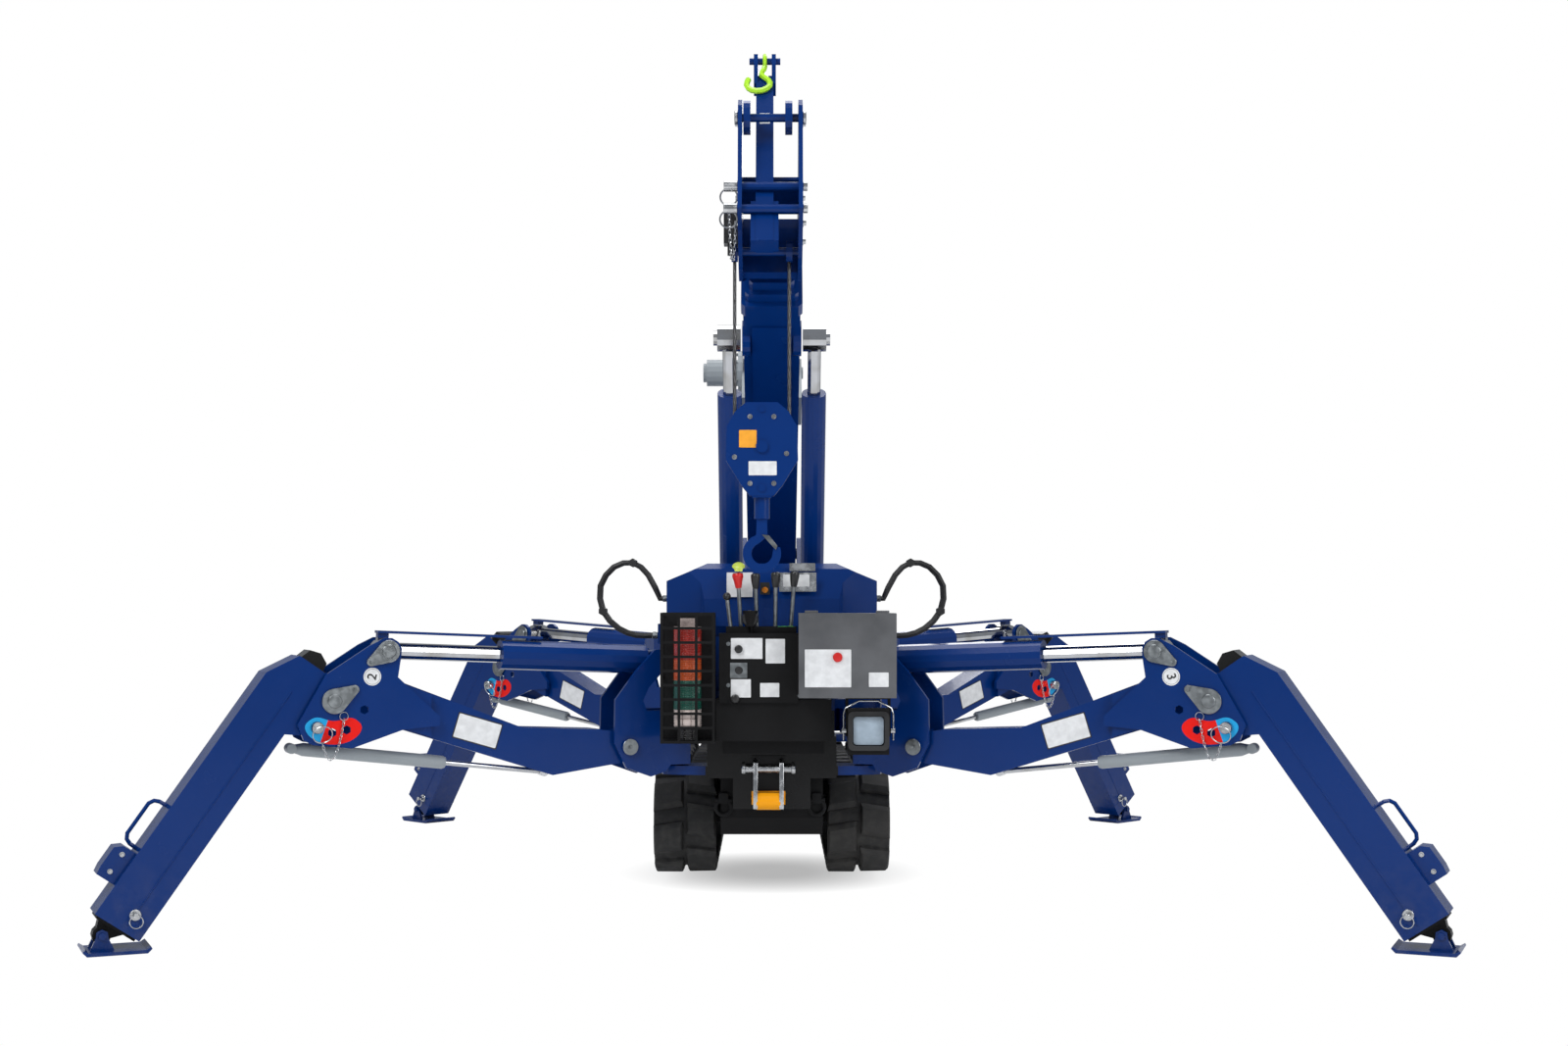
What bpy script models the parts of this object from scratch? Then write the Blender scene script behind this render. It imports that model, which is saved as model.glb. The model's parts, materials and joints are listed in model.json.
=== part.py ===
"""Compact tracked spider crane, standing on four spread outrigger legs.

Metres, +Z up. The origin is under the middle of the four foot pads, on the ground.
+X is the photograph's right and -Y is the end with the levers, which the boom leans over.
"""

import math

import bmesh
import bpy
from mathutils import Matrix, Vector

# clearances
GAP = 0.0003  # between pieces that touch
SIDE = 0.005  # between a moving piece and its neighbour
PIN_PLAY = 0.0001  # radial, pin in bore
SLIDE_PLAY = 0.0005  # each side, a telescoping piece at its guide
BORE_SIDES = 12
BORE_GROW = 1 / math.cos(math.pi / BORE_SIDES)  # a bore's flats stay clear of its pin

# crawler
TRACK_X = 0.279
TRACK_W = 0.200
TRACK_BOTTOM = 0.090
TRACK_R = 0.170
LUG_H = 0.022
BELT_T = 0.018
LUGS = 48
WHEEL_FRONT_Y = -0.660
WHEEL_REAR_Y = 0.580
WHEEL_Z = TRACK_BOTTOM + TRACK_R
TRACK_TOP = WHEEL_Z + TRACK_R

# chassis
CENTRE_HALF = 0.160
CENTRE_TOP = 0.430
DECK_BOTTOM = CENTRE_TOP + GAP
DECK_TOP = 0.560
DECK_HALF = 0.200
DECK_FRONT = -1.050
DECK_REAR = 0.800
BLOCK_TOP = 0.700
SLEW_Y = -0.300
PEDESTAL_R = 0.210

# outrigger legs, in a leg's own frame: r outward, z up, symmetric about its plane
LEGS = {
    "front_left": (-0.300, -0.957, 204.0),
    "front_right": (0.300, -0.957, -24.0),
    "rear_left": (-0.300, 0.4525, 135.7),
    "rear_right": (0.300, 0.4525, 44.3),
}
LUG_T = 0.028
LUG_R = 0.045
BARREL_BOTTOM = 0.470
BARREL_TOP = 0.640
BARREL_R = 0.042
SWING_PIN_R = 0.022
BRACKET_HALF = 0.060
BRACKET_T = 0.012
ARM_PIN = (0.181, 0.531)
ARM_PIN_R = 0.020
ARM_HALF = 0.050
LIFT_IN = (0.083, 0.795)
LIFT_OUT = (0.930, 0.833)
LIFT_TUBE_R = 0.045
LIFT_TUBE_LEN = 0.490
LIFT_ROD_R = 0.025
LIFT_PIN_R = 0.014
KNEE = (1.088, 0.691)
KNEE_PIN_R = 0.020
KNEE_HALF = 0.0675
KNEE_T = 0.012
LEG_HALF = KNEE_HALF - SIDE
LEG_DIR = math.radians(-54.7)
LEG_S0 = 0.060
LEG_S1 = 0.2056
LEG_END = 0.850
LEG_WALL = 0.010
INNER_START = 0.340
INNER_END = 0.858
FOOT_PIN = (0.891, 0.149)
FOOT_PIN_R = 0.010
LOCK_HOLE_R = 0.0135
PAD_IN = 1.594
PAD_OUT = 1.780
PAD_HALF = 0.075
PAD_T = 0.010

# crane
BOOM_DEG = 30.0
FOOT_Y = 0.100
FOOT_Z = 1.145
FOOT_PIN_RADIUS = 0.020
BASE_W = 0.170
BASE_H = 0.220
BASE_WALL = 0.006
BASE_FRONT = 1.605
SECTIONS = ((0.145, 0.190), (0.120, 0.160), (0.095, 0.130))
SECTION_WALL = 0.0045
COLLAR_LEN = 0.036
COLLAR_T = 0.006
LUFF_X = 0.130
LUFF_PIN = (-0.660, 0.930)
LUFF_PIN_R = 0.018
LUFF_TUBE_R = 0.0375
LUFF_TUBE_LEN = 0.800
LUFF_ROD_R = 0.020
TRUNNION_U = 1.407
TRUNNION_V = -0.084
DECK_SLEW_R = 0.440
MAST_T = 0.022
DRUM_U = 0.744
DRUM_V = 0.269
DRUM_HALF = 0.085
HANG = (-1.520, 1.980)
FALL_X = (-0.106, 0.050)
ROPE_R = 0.005
BLOCK_X = sum(FALL_X) / 2
BLOCK_Z = 1.420
HEAD_X = (-0.095, 0.087)
HEAD_T = 0.012
JIB_X = -0.020
JIB_FRONT_U = 2.0087

# front group
CONSOLE_X = (-0.160, 0.0807)
CONSOLE_Z = (0.669, 0.880)
CONSOLE_Y = (-1.160, DECK_FRONT - GAP)
REMOTE_X = (0.081, 0.374)
REMOTE_Y = (-1.250, -1.130)
REMOTE_Z = (0.688, 0.942)
CAGE_X = (-0.334, -0.1703)
CAGE_Y = (-1.250, -1.130)
CAGE_Z = (0.552, 0.944)
CAGE_BAR = 0.008


for old in list(bpy.data.objects):
    bpy.data.objects.remove(old, do_unlink=True)

CRANE = bpy.data.collections.new("spider_crane")
SHOP = bpy.data.collections.new("cutters")
bpy.context.scene.collection.children.link(CRANE)
bpy.context.scene.collection.children.link(SHOP)


# materials
def material(name, colour, rough, metal=0.0):
    made = bpy.data.materials.new(name)
    made.use_nodes = True
    shader = made.node_tree.nodes["Principled BSDF"]
    shader.inputs["Base Color"].default_value = (*colour, 1.0)
    shader.inputs["Roughness"].default_value = rough
    shader.inputs["Metallic"].default_value = metal
    return made


BLUE = material("blue_paint", (0.012, 0.075, 0.34), 0.25)
BLACK = material("black_paint", (0.012, 0.012, 0.013), 0.40)
RUBBER = material("black_rubber", (0.015, 0.015, 0.015), 0.75)
GREY = material("grey_paint", (0.11, 0.11, 0.12), 0.50)
STEEL = material("grey_steel", (0.45, 0.47, 0.49), 0.40, 1.0)
CHROME = material("chrome", (0.75, 0.76, 0.78), 0.12, 1.0)
ROPE = material("wire_rope", (0.10, 0.10, 0.11), 0.55, 1.0)
LIME = material("lime_paint", (0.42, 0.75, 0.03), 0.35)
YELLOW = material("yellow_paint", (0.90, 0.42, 0.01), 0.40)
LENSES = material("lamp_lenses", (0.60, 0.06, 0.02), 0.20)


# shapes
def keep(name, bm, matrix=None):
    if matrix is not None:
        bmesh.ops.transform(bm, matrix=matrix, verts=bm.verts)
    bmesh.ops.recalc_face_normals(bm, faces=bm.faces)
    mesh = bpy.data.meshes.new(name)
    bm.to_mesh(mesh)
    bm.free()
    obj = bpy.data.objects.new(name, mesh)
    obj.hide_render = True
    obj.display_type = "WIRE"
    SHOP.objects.link(obj)
    return obj


def box(x0, x1, y0, y1, z0, z1, matrix=None):
    bm = bmesh.new()
    middle = Vector(((x0 + x1) / 2, (y0 + y1) / 2, (z0 + z1) / 2))
    size = Matrix.Diagonal((x1 - x0, y1 - y0, z1 - z0, 1.0))
    bmesh.ops.create_cube(bm, size=1.0, matrix=Matrix.Translation(middle) @ size)
    return keep("box", bm, matrix)


def rod(start, end, radius, sides=BORE_SIDES, end_radius=None, matrix=None):
    start, end = Vector(start), Vector(end)
    along = end - start
    turn = along.to_track_quat("Z", "Y").to_matrix().to_4x4()
    bm = bmesh.new()
    bmesh.ops.create_cone(
        bm,
        cap_ends=True,
        segments=sides,
        radius1=radius,
        radius2=radius if end_radius is None else end_radius,
        depth=along.length,
        matrix=Matrix.Translation((start + end) / 2) @ turn,
    )
    return keep("rod", bm, matrix)


def ball(centre, radius):
    bm = bmesh.new()
    at = Matrix.Translation(Vector(centre))
    bmesh.ops.create_uvsphere(bm, u_segments=8, v_segments=6, radius=radius, matrix=at)
    return keep("ball", bm)


def merge_flat(bm):
    """Joins the triangles of one flat face, and drops corners on straight edges."""
    bmesh.ops.dissolve_limit(
        bm, angle_limit=0.0005, verts=bm.verts, edges=bm.edges, use_dissolve_boundaries=False
    )


def from_curve(curve, matrix):
    """The curve's mesh with its caps welded, in world space."""
    maker = bpy.data.objects.new("maker", curve)
    SHOP.objects.link(maker)
    bpy.context.view_layer.update()
    graph = bpy.context.evaluated_depsgraph_get()
    mesh = bpy.data.meshes.new_from_object(maker.evaluated_get(graph))
    bm = bmesh.new()
    bm.from_mesh(mesh)
    bmesh.ops.remove_doubles(bm, verts=bm.verts, dist=0.00001)
    merge_flat(bm)
    bpy.data.objects.remove(maker, do_unlink=True)
    return keep("curve", bm, matrix)


PLANES = {
    "X": Matrix(((0, 0, 1, 0), (1, 0, 0, 0), (0, 1, 0, 0), (0, 0, 0, 1))),
    "Y": Matrix(((1, 0, 0, 0), (0, 0, 1, 0), (0, 1, 0, 0), (0, 0, 0, 1))),
    "Z": Matrix.Identity(4),
}


def plate(outline, low, high, across="Y", holes=(), matrix=None):
    """A flat outline with holes, from low to high along one axis."""
    curve = bpy.data.curves.new("outline", "CURVE")
    curve.dimensions = "2D"
    curve.fill_mode = "BOTH"
    curve.extrude = (high - low) / 2
    for ring in (outline, *holes):
        spline = curve.splines.new("POLY")
        spline.points.add(len(ring) - 1)
        for point, (u, v) in zip(spline.points, ring):
            point.co = (u, v, 0.0, 1.0)
        spline.use_cyclic_u = True
    place = PLANES[across] @ Matrix.Translation((0, 0, (low + high) / 2))
    return from_curve(curve, place if matrix is None else matrix @ place)


def wire(points, radius, resolution=2, matrix=None):
    curve = bpy.data.curves.new("wire", "CURVE")
    curve.dimensions = "3D"
    curve.bevel_depth = radius
    curve.bevel_resolution = resolution
    curve.use_fill_caps = True
    spline = curve.splines.new("POLY")
    spline.points.add(len(points) - 1)
    for point, place in zip(spline.points, points):
        point.co = (*place, 1.0)
    return from_curve(curve, Matrix.Identity(4) if matrix is None else matrix)


def arc(u, v, radius, start, end, steps=8):
    turns = [math.radians(start + (end - start) * i / steps) for i in range(steps + 1)]
    return [(u + radius * math.cos(a), v + radius * math.sin(a)) for a in turns]


def ring(u, v, radius, sides=20):
    return arc(u, v, radius, 0.0, 360.0 - 360.0 / sides, sides - 1)


def smooth(points, steps=4):
    """Points on a Catmull-Rom curve through the given ones."""
    ends = [points[0], *points, points[-1]]
    found = []
    for i in range(len(points) - 1):
        a, b, c, d = (Vector(p) for p in ends[i : i + 4])
        for k in range(steps):
            t = k / steps
            found.append(
                0.5
                * (
                    2 * b
                    + (c - a) * t
                    + (2 * a - 5 * b + 4 * c - d) * t**2
                    + (3 * b - a - 3 * c + d) * t**3
                )
            )
    return [*found, Vector(points[-1])]


def fuse(name, looks, solids, cuts=(), collection=CRANE):
    """One closed body from overlapping solids, less the cuts."""
    base = solids[0]
    for operation, tools in (("UNION", solids[1:]), ("DIFFERENCE", cuts)):
        for tool in tools:
            step = base.modifiers.new(operation.lower(), "BOOLEAN")
            step.operation = operation
            step.object = tool
            step.solver = "EXACT"
    bpy.context.view_layer.update()
    graph = bpy.context.evaluated_depsgraph_get()
    made = bpy.data.meshes.new_from_object(base.evaluated_get(graph))
    bm = bmesh.new()
    bm.from_mesh(made)
    bmesh.ops.remove_doubles(bm, verts=bm.verts, dist=0.00001)
    merge_flat(bm)
    mesh = bpy.data.meshes.new(name)
    bm.to_mesh(mesh)
    bm.free()
    mesh.materials.clear()
    mesh.materials.append(looks)
    mesh.shade_smooth()
    mesh.set_sharp_from_angle(angle=math.radians(32))
    for tool in (*solids, *cuts):
        bpy.data.objects.remove(tool, do_unlink=True)
    obj = bpy.data.objects.new(name, mesh)
    collection.objects.link(obj)
    return obj


def pivot(name, x, y, z):
    empty = bpy.data.objects.new("axis_" + name, None)
    empty.location = (x, y, z)
    empty.empty_display_size = 0.05
    CRANE.objects.link(empty)
    return empty


def hang(child, parent):
    bpy.context.view_layer.update()
    child.parent = parent
    child.matrix_parent_inverse = parent.matrix_world.inverted()


# undercarriage and tracks
RUN_LEN = WHEEL_REAR_Y - WHEEL_FRONT_Y


def around(distance, radius, height):
    """A point on the track's loop, at a distance along it and a height over it."""
    half = math.pi * radius
    distance %= 2 * (RUN_LEN + half)
    reach = radius + height
    if distance < RUN_LEN:
        return (WHEEL_FRONT_Y + distance, WHEEL_Z + reach)
    distance -= RUN_LEN
    if distance < half:
        a = math.pi / 2 - distance / radius
        return (WHEEL_REAR_Y + reach * math.cos(a), WHEEL_Z + reach * math.sin(a))
    distance -= half
    if distance < RUN_LEN:
        return (WHEEL_REAR_Y - distance, WHEEL_Z - reach)
    a = -math.pi / 2 - (distance - RUN_LEN) / radius
    return (WHEEL_FRONT_Y + reach * math.cos(a), WHEEL_Z + reach * math.sin(a))


BELT_R = TRACK_R - LUG_H
INSIDE_R = BELT_R - BELT_T
END_STEPS = 14
WHEEL_R = INSIDE_R * math.cos(math.pi / (2 * END_STEPS)) - GAP
PITCH = 2 * (RUN_LEN + math.pi * BELT_R) / LUGS
tread = []
for lug in range(LUGS):
    for share, height in ((0.0, 0.0), (0.12, LUG_H), (0.58, LUG_H), (0.70, 0.0)):
        tread.append(around((lug + share) * PITCH, BELT_R, height))
hollow = arc(WHEEL_REAR_Y, WHEEL_Z, INSIDE_R, 90, -90, END_STEPS)
hollow += arc(WHEEL_FRONT_Y, WHEEL_Z, INSIDE_R, 270, 90, END_STEPS)
for side, name in ((-1, "track_left"), (1, "track_right")):
    middle = side * TRACK_X
    low, high = middle - TRACK_W / 2, middle + TRACK_W / 2
    fuse(name, RUBBER, [plate(tread, low, high, "X", (hollow,))])

ROLLER_R = 0.045
TOP_ROLLER_R = 0.030
solids = [
    plate(
        [(-0.98, 0.30), (-0.93, 0.243), (0.74, 0.243), (0.80, 0.30),
         (0.80, CENTRE_TOP), (-0.98, CENTRE_TOP)],
        -CENTRE_HALF, CENTRE_HALF, "X",
    )
]
for low, high in ((-0.46, -0.32), (0.18, 0.32)):
    solids.append(box(-TRACK_X, TRACK_X, low, high, 0.230, 0.310))
for side in (-1, 1):
    middle = side * TRACK_X
    solids.append(
        box(middle - 0.045, middle + 0.045, WHEEL_FRONT_Y, WHEEL_REAR_Y, 0.195, 0.330)
    )
    for y in (WHEEL_FRONT_Y, WHEEL_REAR_Y):
        solids.append(rod((middle - 0.060, y, WHEEL_Z), (middle + 0.060, y, WHEEL_Z), WHEEL_R, 20))
    floor = WHEEL_Z - INSIDE_R + GAP + ROLLER_R
    for k in range(3):
        y = WHEEL_FRONT_Y + RUN_LEN * (k + 1) / 4
        solids.append(rod((middle - 0.070, y, floor), (middle + 0.070, y, floor), ROLLER_R, 10))
    ceiling = WHEEL_Z + INSIDE_R - GAP - TOP_ROLLER_R
    y = (WHEEL_FRONT_Y + WHEEL_REAR_Y) / 2
    solids.append(rod((middle - 0.055, y, ceiling), (middle + 0.055, y, ceiling), TOP_ROLLER_R, 10))
fuse("undercarriage", BLACK, solids)

# chassis with the legs' swing pins
LOWER_LUG = BARREL_BOTTOM - SIDE
UPPER_LUG = BARREL_TOP + SIDE
solids = [
    box(-DECK_HALF, DECK_HALF, DECK_FRONT, DECK_REAR, DECK_BOTTOM, DECK_TOP),
    box(-DECK_HALF + 0.006, DECK_HALF - 0.006, DECK_FRONT, -0.860, 0.500, BLOCK_TOP),
    box(-DECK_HALF + 0.006, DECK_HALF - 0.006, 0.340, 0.570, 0.500, BLOCK_TOP),
    rod((0, SLEW_Y, 0.500), (0, SLEW_Y, BLOCK_TOP), PEDESTAL_R, 16),
    box(-0.120, 0.120, DECK_FRONT, DECK_FRONT + 0.020, 0.335, 0.500),
]
for x, y, _ in LEGS.values():
    side = 1 if x > 0 else -1
    for low, high in ((LOWER_LUG - LUG_T, LOWER_LUG), (UPPER_LUG, UPPER_LUG + LUG_T)):
        inner = side * (DECK_HALF - 0.030)
        nose = arc(x, y, LUG_R, -90, 90, 6) if side > 0 else arc(x, y, LUG_R, 90, 270, 6)
        far = [(inner, y + 0.070), (inner, y - 0.070)]
        solids.append(plate([*nose, *(far if side > 0 else far[::-1])], low, high, "Z"))
    solids.append(rod((x, y, LOWER_LUG - 0.010), (x, y, UPPER_LUG + 0.010), SWING_PIN_R))
fuse("upper_frame", BLUE, solids)

# control console, guards and lamps at the front
low_x, high_x = CONSOLE_X
LEVER_ROOT_Z = 0.872
solids = [
    box(low_x, high_x, *CONSOLE_Y, *CONSOLE_Z),
    box(-0.170, 0.182, CONSOLE_Y[0] + 0.012, DECK_FRONT - GAP, CAGE_Z[0], CONSOLE_Z[0] + 0.010),
    box(-0.150, 0.160, -1.090, DECK_FRONT - GAP, 0.510, 0.560),
    box(-0.140, 0.075, -1.120, -1.040, 0.875, 0.900),
]
KNOBS = (
    (-0.104, -1.085, 1.048, 0.016), (-0.050, -1.080, 1.046, 0.013), (0.012, -1.080, 1.050, 0.013),
    (0.070, -1.080, 1.052, 0.013), (-0.137, -1.120, 0.992, 0.011), (-0.066, -1.135, 0.925, 0.024),
)
for x, y, z, radius in KNOBS:
    root = 0.30 * x + 0.70 * max(low_x + 0.02, min(high_x - 0.03, x * 0.85))
    solids.append(rod((root, y + 0.012, LEVER_ROOT_Z), (x, y, z), 0.0055, 6))
    if radius < 0.012:
        solids.append(ball((x, y, z), radius))
    else:
        solids.append(rod((x, y, z - radius), (x, y, z + radius), radius * 0.65, 8, radius))
fuse("console", BLACK, solids)

solids = [box(*REMOTE_X, *REMOTE_Y, *REMOTE_Z)]
for side in (0.120, 0.335):
    solids.append(rod((side - 0.02, -1.190, REMOTE_Z[1]), (side + 0.02, -1.190, REMOTE_Z[1]), 0.008, 10))
fuse("remote_box", GREY, solids)

COLUMNS, ROWS = 3, 9
x0, x1 = CAGE_X
z0, z1 = CAGE_Z
cell_x = (x1 - x0 - CAGE_BAR * (COLUMNS + 1)) / COLUMNS
cell_z = (z1 - z0 - CAGE_BAR * (ROWS + 1)) / ROWS
windows = []
for i in range(COLUMNS):
    for k in range(ROWS):
        left = x0 + CAGE_BAR + i * (cell_x + CAGE_BAR)
        foot = z0 + CAGE_BAR + k * (cell_z + CAGE_BAR)
        windows.append(
            [(left, foot), (left + cell_x, foot), (left + cell_x, foot + cell_z), (left, foot + cell_z)]
        )
frame = [(x0, z0), (x1, z0), (x1, z1), (x0, z1)]
sides = []
for k in range(2):
    foot = z0 + CAGE_BAR + k * (z1 - z0 - CAGE_BAR) / 2
    top = foot + (z1 - z0 - CAGE_BAR) / 2 - CAGE_BAR
    sides.append([(CAGE_Y[0] + CAGE_BAR, foot), (CAGE_Y[1] - CAGE_BAR, foot),
                  (CAGE_Y[1] - CAGE_BAR, top), (CAGE_Y[0] + CAGE_BAR, top)])
wall = [(CAGE_Y[0] + 0.001, z0 + 0.001), (CAGE_Y[1] - 0.001, z0 + 0.001),
        (CAGE_Y[1] - 0.001, z1 - 0.001), (CAGE_Y[0] + 0.001, z1 - 0.001)]
fuse(
    "lamp_cage",
    BLACK,
    [
        plate(frame, CAGE_Y[0], CAGE_Y[0] + 0.006, "Y", windows),
        plate(wall, x0 + 0.0005, x0 + 0.005, "X", sides),
        plate(wall, x1 - 0.005, x1 - 0.0005, "X", sides),
        box(x0 + 0.001, x1 - 0.001, CAGE_Y[1] - 0.006, CAGE_Y[1], z0 + 0.0005, z1 - 0.0005),
        box(x0 + 0.002, x1 - 0.002, CAGE_Y[0] + 0.002, CAGE_Y[1] - 0.002, z0, z0 + 0.008),
    ],
)

TOWER = ((0.5603, 0.600, 0.030), (0.600, 0.900, 0.042), (0.900, 0.925, 0.030))
solids = []
for low, high, radius in TOWER:
    solids.append(rod((-0.255, -1.190, low), (-0.255, -1.190, high + 0.002), radius, 16))
fuse("lamp_tower", LENSES, solids)

LAMP_X = (0.229, 0.353)
LAMP_Z = (0.517, 0.657)
solids = [
    plate(
        [(-1.230, LAMP_Z[0]), (-1.205, LAMP_Z[0]), (-1.150, 0.550), (-1.150, 0.624),
         (-1.205, LAMP_Z[1]), (-1.230, LAMP_Z[1])],
        *LAMP_X, "X",
    ),
    box(LAMP_X[0] - 0.006, LAMP_X[0] + 0.002, -1.195, -1.165, 0.570, REMOTE_Z[0] - GAP),
    box(LAMP_X[1] - 0.002, LAMP_X[1] + 0.006, -1.195, -1.165, 0.570, REMOTE_Z[0] - GAP),
    box(LAMP_X[0] - 0.006, LAMP_X[1] + 0.006, -1.195, -1.165, REMOTE_Z[0] - 0.006, REMOTE_Z[0] - GAP),
]
face = box(LAMP_X[0] + 0.015, LAMP_X[1] - 0.015, -1.240, -1.218, 0.545, 0.632)
fuse("work_lamp", BLACK, solids, [face])

PLATE_Y = DECK_FRONT - GAP
solids = [box(-0.062, 0.042, PLATE_Y - 0.010, PLATE_Y, 0.350, 0.500)]
for x in (-0.055, 0.025):
    solids.append(
        plate(
            [(PLATE_Y - 0.005, 0.400), (-1.100, 0.340), (-1.125, 0.345), (-1.132, 0.372),
             (-1.100, 0.480), (PLATE_Y - 0.005, 0.492)],
            x, x + 0.010, "X",
        )
    )
solids.append(rod((-0.075, -1.085, 0.462), (0.055, -1.085, 0.462), 0.010, 12))
solids.append(rod((-0.047, -1.105, 0.366), (0.027, -1.105, 0.366), 0.0275, 20))
solids.append(rod((-0.060, -1.105, 0.366), (0.040, -1.105, 0.366), 0.010, 12))
fuse("tow_roller", YELLOW, solids)

# hoods and hoses
FITTING_X = (0.310, 0.360)
FITTING_Z = (0.842, 0.905)
HOSE_Y = -0.880
HOOD_HALF = 0.330
solids = [
    plate(
        [(-1.000, 0.872), (-1.018, 0.900), (-1.012, 0.985), (-0.975, 1.078), (-0.950, 1.095),
         (-0.905, 1.095), (-0.860, 1.055), (-0.800, 0.985), (-0.800, 0.872)],
        -HOOD_HALF, HOOD_HALF, "X",
    ),
    plate(
        [(-0.985, BLOCK_TOP + GAP), (-0.862, BLOCK_TOP + GAP), (-0.810, 0.880), (-0.995, 0.880)],
        -DECK_HALF + 0.010, DECK_HALF - 0.010, "X",
    ),
]
wedges = []
for side in (-1, 1):
    near, far = FITTING_X
    solids.append(
        box(*sorted((side * near, side * far)), HOSE_Y - 0.028, HOSE_Y + 0.028, *FITTING_Z)
    )
    wedges.append(
        plate(
            [(side * 0.185, 1.110), (side * 0.200, 1.096), (side * 0.262, 1.068),
             (side * 0.3305, 1.040), (side * 0.345, 1.110)],
            -1.030, -0.780, "Y",
        )
    )
    wedges.append(
        plate(
            [(side * 0.200, -1.030), (side * 0.3400, -1.030), (side * 0.3400, -0.950),
             (side * 0.222, -0.992)],
            0.860, 1.110, "Z",
        )
    )
fuse("front_hood", BLUE, solids, wedges)

HOSE_R = 0.010
for side, name in ((-1, "hose_loop_left"), (1, "hose_loop_right")):
    route = [(0.354, 0.985), (0.392, 1.060), (0.440, 1.098), (0.500, 1.085), (0.543, 1.025),
             (0.535, 0.945), (0.485, 0.890), (0.430, 0.869), (0.385, 0.868)]
    ends = (HOOD_HALF + GAP, 0, 0.985), (FITTING_X[1] + GAP, 0, 0.868)
    path = [ends[0], *smooth([(x, 0, z) for x, z in route], 2), ends[1]]
    solids = []
    for offset in (-0.0125, 0.0125):
        points = [(side * x, HOSE_Y + offset, z) for x, _, z in path]
        solids.append(wire(points, HOSE_R, 1))
    for x, z in (route[2], route[5]):
        at = (side * x, HOSE_Y, z)
        reach = Vector((0, 0.026, 0))
        solids.append(rod(Vector(at) - reach, Vector(at) + reach, 0.014, 6))
    fuse(name, RUBBER, solids)

HOOD_REAR = 0.930
HOOD_SIDE = 0.205
vents = []
for k in range(5):
    low = 0.640 + 0.045 * k
    for side in (-1, 1):
        edges = sorted((side * (HOOD_SIDE - 0.006), side * (HOOD_SIDE + 0.010)))
        vents.append(box(*edges, 0.640, 0.860, low, low + 0.018))
bevels = []
for side in (-1, 1):
    bevels.append(
        plate(
            [(side * (HOOD_SIDE - 0.035), 0.970), (side * (HOOD_SIDE + 0.01), 0.915),
             (side * (HOOD_SIDE + 0.01), 0.990)],
            0.300, 1.000, "Y",
        )
    )
fuse(
    "engine_hood",
    BLUE,
    [
        plate(
            [(0.345, BLOCK_TOP + GAP), (0.5703, BLOCK_TOP + GAP), (0.5703, DECK_TOP + GAP),
             (HOOD_REAR, DECK_TOP + GAP), (HOOD_REAR, 0.880), (HOOD_REAR - 0.070, 0.960),
             (0.400, 0.960), (0.345, 0.910)],
            -HOOD_SIDE, HOOD_SIDE, "X",
        )
    ],
    vents + bevels,
)

# slewing turntable with the mast
MAST_IN = BASE_W / 2 + SIDE
LUG_IN = LUFF_X + LUFF_TUBE_R + SIDE + 0.0035
LUG_OUT = LUG_IN + 0.022
solids = [
    rod((0, SLEW_Y, BLOCK_TOP + GAP), (0, SLEW_Y, 0.770), 0.230, 16),
    rod((0, SLEW_Y, 0.755), (0, SLEW_Y, 0.860), DECK_SLEW_R, 28),
]
mast = [(-0.420, 0.850), (-0.380, 0.930), (-0.140, 1.020)]
mast += arc(FOOT_Y, FOOT_Z, 0.058, 135, 0, 6)
mast += [(0.150, 1.020), (0.110, 0.850)]
for side in (-1, 1):
    edges = sorted((side * MAST_IN, side * (MAST_IN + MAST_T)))
    solids.append(plate(mast, *edges, "X"))
    edges = sorted((side * LUG_IN, side * LUG_OUT))
    lug = [(LUFF_PIN[0] - 0.036, 0.850), (LUFF_PIN[0] + 0.090, 0.850)]
    lug += arc(*LUFF_PIN, 0.036, 20, 190, 6)
    solids.append(plate(lug, *edges, "X"))
reach = MAST_IN + MAST_T + 0.010
solids.append(rod((-reach, FOOT_Y, FOOT_Z), (reach, FOOT_Y, FOOT_Z), FOOT_PIN_RADIUS))
reach = LUG_OUT + 0.004
solids.append(rod((-reach, *LUFF_PIN), (reach, *LUFF_PIN), LUFF_PIN_R))
solids.append(box(-MAST_IN - 0.005, MAST_IN + 0.005, -0.300, 0.060, 0.850, 0.930))
fuse("turntable", BLUE, solids)

# boom: x across, u from the foot along the boom, v square to it
TILT = math.radians(BOOM_DEG)
BOOM = Matrix(
    (
        (1, 0, 0, 0),
        (0, -math.cos(TILT), math.sin(TILT), FOOT_Y),
        (0, math.sin(TILT), math.cos(TILT), FOOT_Z),
        (0, 0, 0, 1),
    )
)


def boom_point(x, u, v):
    return BOOM @ Vector((x, u, v))


def section(u0, u1, width, height, wall=0.0):
    w, h = width / 2 - wall, height / 2 - wall
    return box(-w, w, u0, u1, -h, h, BOOM)


def rounded(u0, u1, width, height, corner):
    """A length of box section with bevelled corners."""
    w, h = width / 2, height / 2
    outline = [(-w + corner, -h), (w - corner, -h), (w, -h + corner), (w, h - corner),
               (w - corner, h), (-w + corner, h), (-w, h - corner), (-w, -h + corner)]
    lay = Matrix(((1, 0, 0, 0), (0, 0, 1, 0), (0, 1, 0, 0), (0, 0, 0, 1)))
    return plate(outline, u0, u1, "Z", (), BOOM @ lay)


def guide(width, height):
    return width + 2 * SLIDE_PLAY, height + 2 * SLIDE_PLAY


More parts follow.
